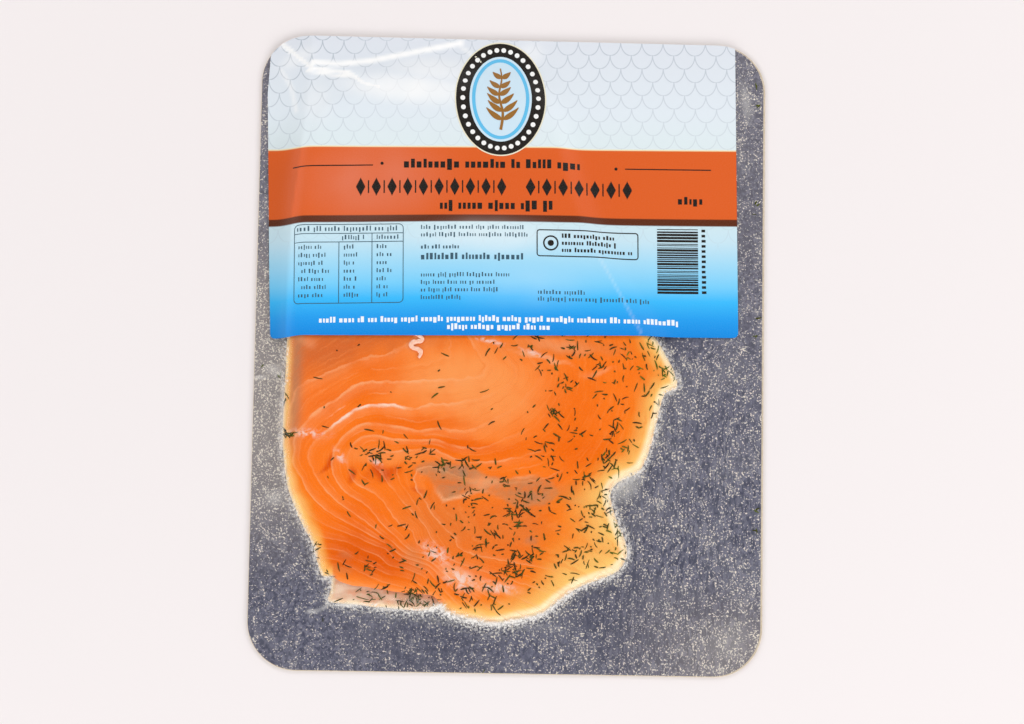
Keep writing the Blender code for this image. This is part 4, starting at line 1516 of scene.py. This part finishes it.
def build_dill(settings):
    """Threads of chopped dill on the slices, and a few loose on the card."""
    rings, sides = 6, 4
    data, template = tube_template(rings, sides)
    dice = random.Random(settings.seed + 1)
    top = surface_of(bpy.data.objects["slice_top_flesh"])
    under = surface_of(bpy.data.objects["slice_under_flesh"])

    def on_fish(points):
        return np.maximum(top(points), under(points))

    def on_card(points):
        return np.full(len(points), CARD_TOP)

    places, freshness = [], []
    for threads, floor in zip(dill_threads(settings), (on_fish, on_card)):
        for x, y, heading, length, width, fresh in threads:
            bend = dice.gauss(0, 0.22)
            share = np.linspace(-0.5, 0.5, rings)
            turn = heading + bend * share * 2
            steps = np.column_stack((np.cos(turn), np.sin(turn))) * length / (rings - 1)
            path = (np.array((x, y)) + np.cumsum(steps, axis=0) - steps.sum(axis=0) / 2) * MM
            radii = np.array((0.45, 0.95, 1.0, 0.9, 0.7, 0.3)) * width / 2 * MM
            places.append(bent_tube(template, path, radii, 0.5, floor))
            freshness.append(np.full(len(template), fresh))
    dill = join_copies(data, places, "dill", [dill_material(settings)])
    note_values(dill, "freshness", np.concatenate(freshness))


def build_stage(scene, settings):
    """A pale floor, soft light from all round and from lamps set low, and the camera."""
    mesh = bmesh.new()
    just_below = Matrix.Translation((0, 0, -0.05 * MM))
    bmesh.ops.create_grid(mesh, x_segments=1, y_segments=1, size=3.0, matrix=just_below)
    data = bpy.data.meshes.new("floor")
    mesh.to_mesh(data)
    mesh.free()
    floor = bpy.data.objects.new("floor", data)
    scene.collection.objects.link(floor)
    tree = Tree("floor paper")
    cloud = tree.noise(tree.scaled(tree.place(), 2, 2), 2.0)
    colour = tree.mix(tree.range(cloud, 0.3, 0.7, 0.0, 0.02), settings.floor, (1, 1, 1))
    data.materials.append(tree.surface(tree.node("BsdfPrincipled", {
        "Base Color": colour, "Roughness": 0.9, "Specular IOR Level": 0.1})))

    world = bpy.data.worlds.new("studio")
    world.use_nodes = True
    nodes, links = world.node_tree.nodes, world.node_tree.links
    sky = nodes["Background"]
    sky.inputs["Strength"].default_value = settings.sky
    # Dark right overhead, so that the film and the label do not mirror the light
    direction = nodes.new("ShaderNodeTexCoord")
    parts = nodes.new("ShaderNodeSeparateXYZ")
    ring = nodes.new("ShaderNodeValToRGB")
    links.new(direction.outputs["Generated"], parts.inputs[0])
    links.new(parts.outputs["Z"], ring.inputs[0])
    links.new(ring.outputs[0], sky.inputs["Color"])
    side, overhead = ring.color_ramp.elements
    side.position, side.color = 0.66, (1.0, 0.985, 0.985, 1)
    overhead.position, overhead.color = 0.84, (0.1, 0.1, 0.1, 1)
    scene.world = world
    # Lamps: place, size across and up, power in watts
    lamps = (
        ("front lamp", (0.0, -0.95, 0.42), (1.4, 0.30), 4.2),
        ("right lamp", (0.95, -0.10, 0.45), (1.2, 0.30), 2.8),
        ("left lamp", (-0.95, 0.05, 0.50), (1.2, 0.25), 1.8),
        ("back lamp", (0.10, 0.95, 0.60), (1.2, 0.30), 2.6),
    )
    for name, place, size, power in lamps:
        light = bpy.data.lights.new(name, "AREA")
        light.shape = "RECTANGLE"
        light.size, light.size_y = size
        light.energy = power * settings.lamps
        lamp = bpy.data.objects.new(name, light)
        lamp.location = place
        lamp.rotation_euler = (-Vector(place)).to_track_quat("-Z", "Y").to_euler()
        scene.collection.objects.link(lamp)

    lens = bpy.data.cameras.new("camera")
    lens.lens = CAMERA_LENS
    lens.clip_start = 0.05
    camera = bpy.data.objects.new("camera", lens)
    camera.location = Vector(CAMERA_PLACE) * MM
    camera.rotation_euler = [math.radians(turn) for turn in CAMERA_TURN]
    scene.collection.objects.link(camera)
    scene.camera = camera
    scene.view_settings.view_transform = "Standard"


# Operators

class GravlaxOperator:
    bl_options = {"REGISTER", "UNDO"}


class OBJECT_OT_gravlax_stage(GravlaxOperator, bpy.types.Operator):
    """Set the pale floor, the studio lamps and the camera"""
    bl_idname = "object.gravlax_stage"
    bl_label = "Stage"

    def execute(self, context):
        build_stage(context.scene, settings_of(context.scene, "stage"))
        return {"FINISHED"}


class OBJECT_OT_gravlax_card(GravlaxOperator, bpy.types.Operator):
    """Build the board and its silver laminate"""
    bl_idname = "object.gravlax_card"
    bl_label = "Card"

    def execute(self, context):
        build_card(settings_of(context.scene, "card"))
        return {"FINISHED"}


class OBJECT_OT_gravlax_salmon(GravlaxOperator, bpy.types.Operator):
    """Build the two slices of salmon and the thread of white fat"""
    bl_idname = "object.gravlax_salmon"
    bl_label = "Salmon"

    def execute(self, context):
        build_salmon(settings_of(context.scene, "salmon"))
        return {"FINISHED"}


class OBJECT_OT_gravlax_dill(GravlaxOperator, bpy.types.Operator):
    """Strew the chopped dill over the slices"""
    bl_idname = "object.gravlax_dill"
    bl_label = "Dill"

    def execute(self, context):
        if "slice_top_flesh" not in bpy.data.objects:
            raise RuntimeError("the dill lies on the salmon, so build the salmon first")
        build_dill(settings_of(context.scene, "dill"))
        return {"FINISHED"}


class OBJECT_OT_gravlax_film(GravlaxOperator, bpy.types.Operator):
    """Draw the clear film down over the slices and the card"""
    bl_idname = "object.gravlax_film"
    bl_label = "Film"

    def execute(self, context):
        build_film(settings_of(context.scene, "film"))
        return {"FINISHED"}


class OBJECT_OT_gravlax_label(GravlaxOperator, bpy.types.Operator):
    """Lay the paper label on the film"""
    bl_idname = "object.gravlax_label"
    bl_label = "Label"

    def execute(self, context):
        build_label(settings_of(context.scene, "label"))
        return {"FINISHED"}


class OBJECT_OT_gravlax_print(GravlaxOperator, bpy.types.Operator):
    """Print the label's plain shapes and its badge"""
    bl_idname = "object.gravlax_print"
    bl_label = "Print"

    def execute(self, context):
        settings = settings_of(context.scene, "label")
        build_print(settings)
        build_medallion(settings)
        return {"FINISHED"}


OPERATORS = (
    OBJECT_OT_gravlax_stage,
    OBJECT_OT_gravlax_card,
    OBJECT_OT_gravlax_salmon,
    OBJECT_OT_gravlax_dill,
    OBJECT_OT_gravlax_film,
    OBJECT_OT_gravlax_label,
    OBJECT_OT_gravlax_print,
)


class VIEW3D_PT_gravlax(bpy.types.Panel):
    """Buttons and settings for the gravlax pack"""
    bl_label = "Gravlax pack"
    bl_space_type = "VIEW_3D"
    bl_region_type = "UI"
    bl_category = "Gravlax"

    def draw(self, context):
        layout = self.layout
        for operator in OPERATORS:
            layout.operator(operator.bl_idname)
        for part, group in SETTINGS.items():
            box = layout.box()
            box.label(text=part.capitalize())
            for name in group.__annotations__:
                box.prop(settings_of(context.scene, part), name)


CLASSES = (*SETTINGS.values(), *OPERATORS, VIEW3D_PT_gravlax)


def register():
    for made in CLASSES:
        bpy.utils.register_class(made)
    for part, group in SETTINGS.items():
        setattr(bpy.types.Scene, "gravlax_" + part, PointerProperty(type=group))


def unregister():
    for part in SETTINGS:
        delattr(bpy.types.Scene, "gravlax_" + part)
    for made in reversed(CLASSES):
        bpy.utils.unregister_class(made)


def main():
    register()
    for operator in OPERATORS:
        group, name = operator.bl_idname.split(".")
        getattr(getattr(bpy.ops, group), name)()


if __name__ == "__main__":
    main()
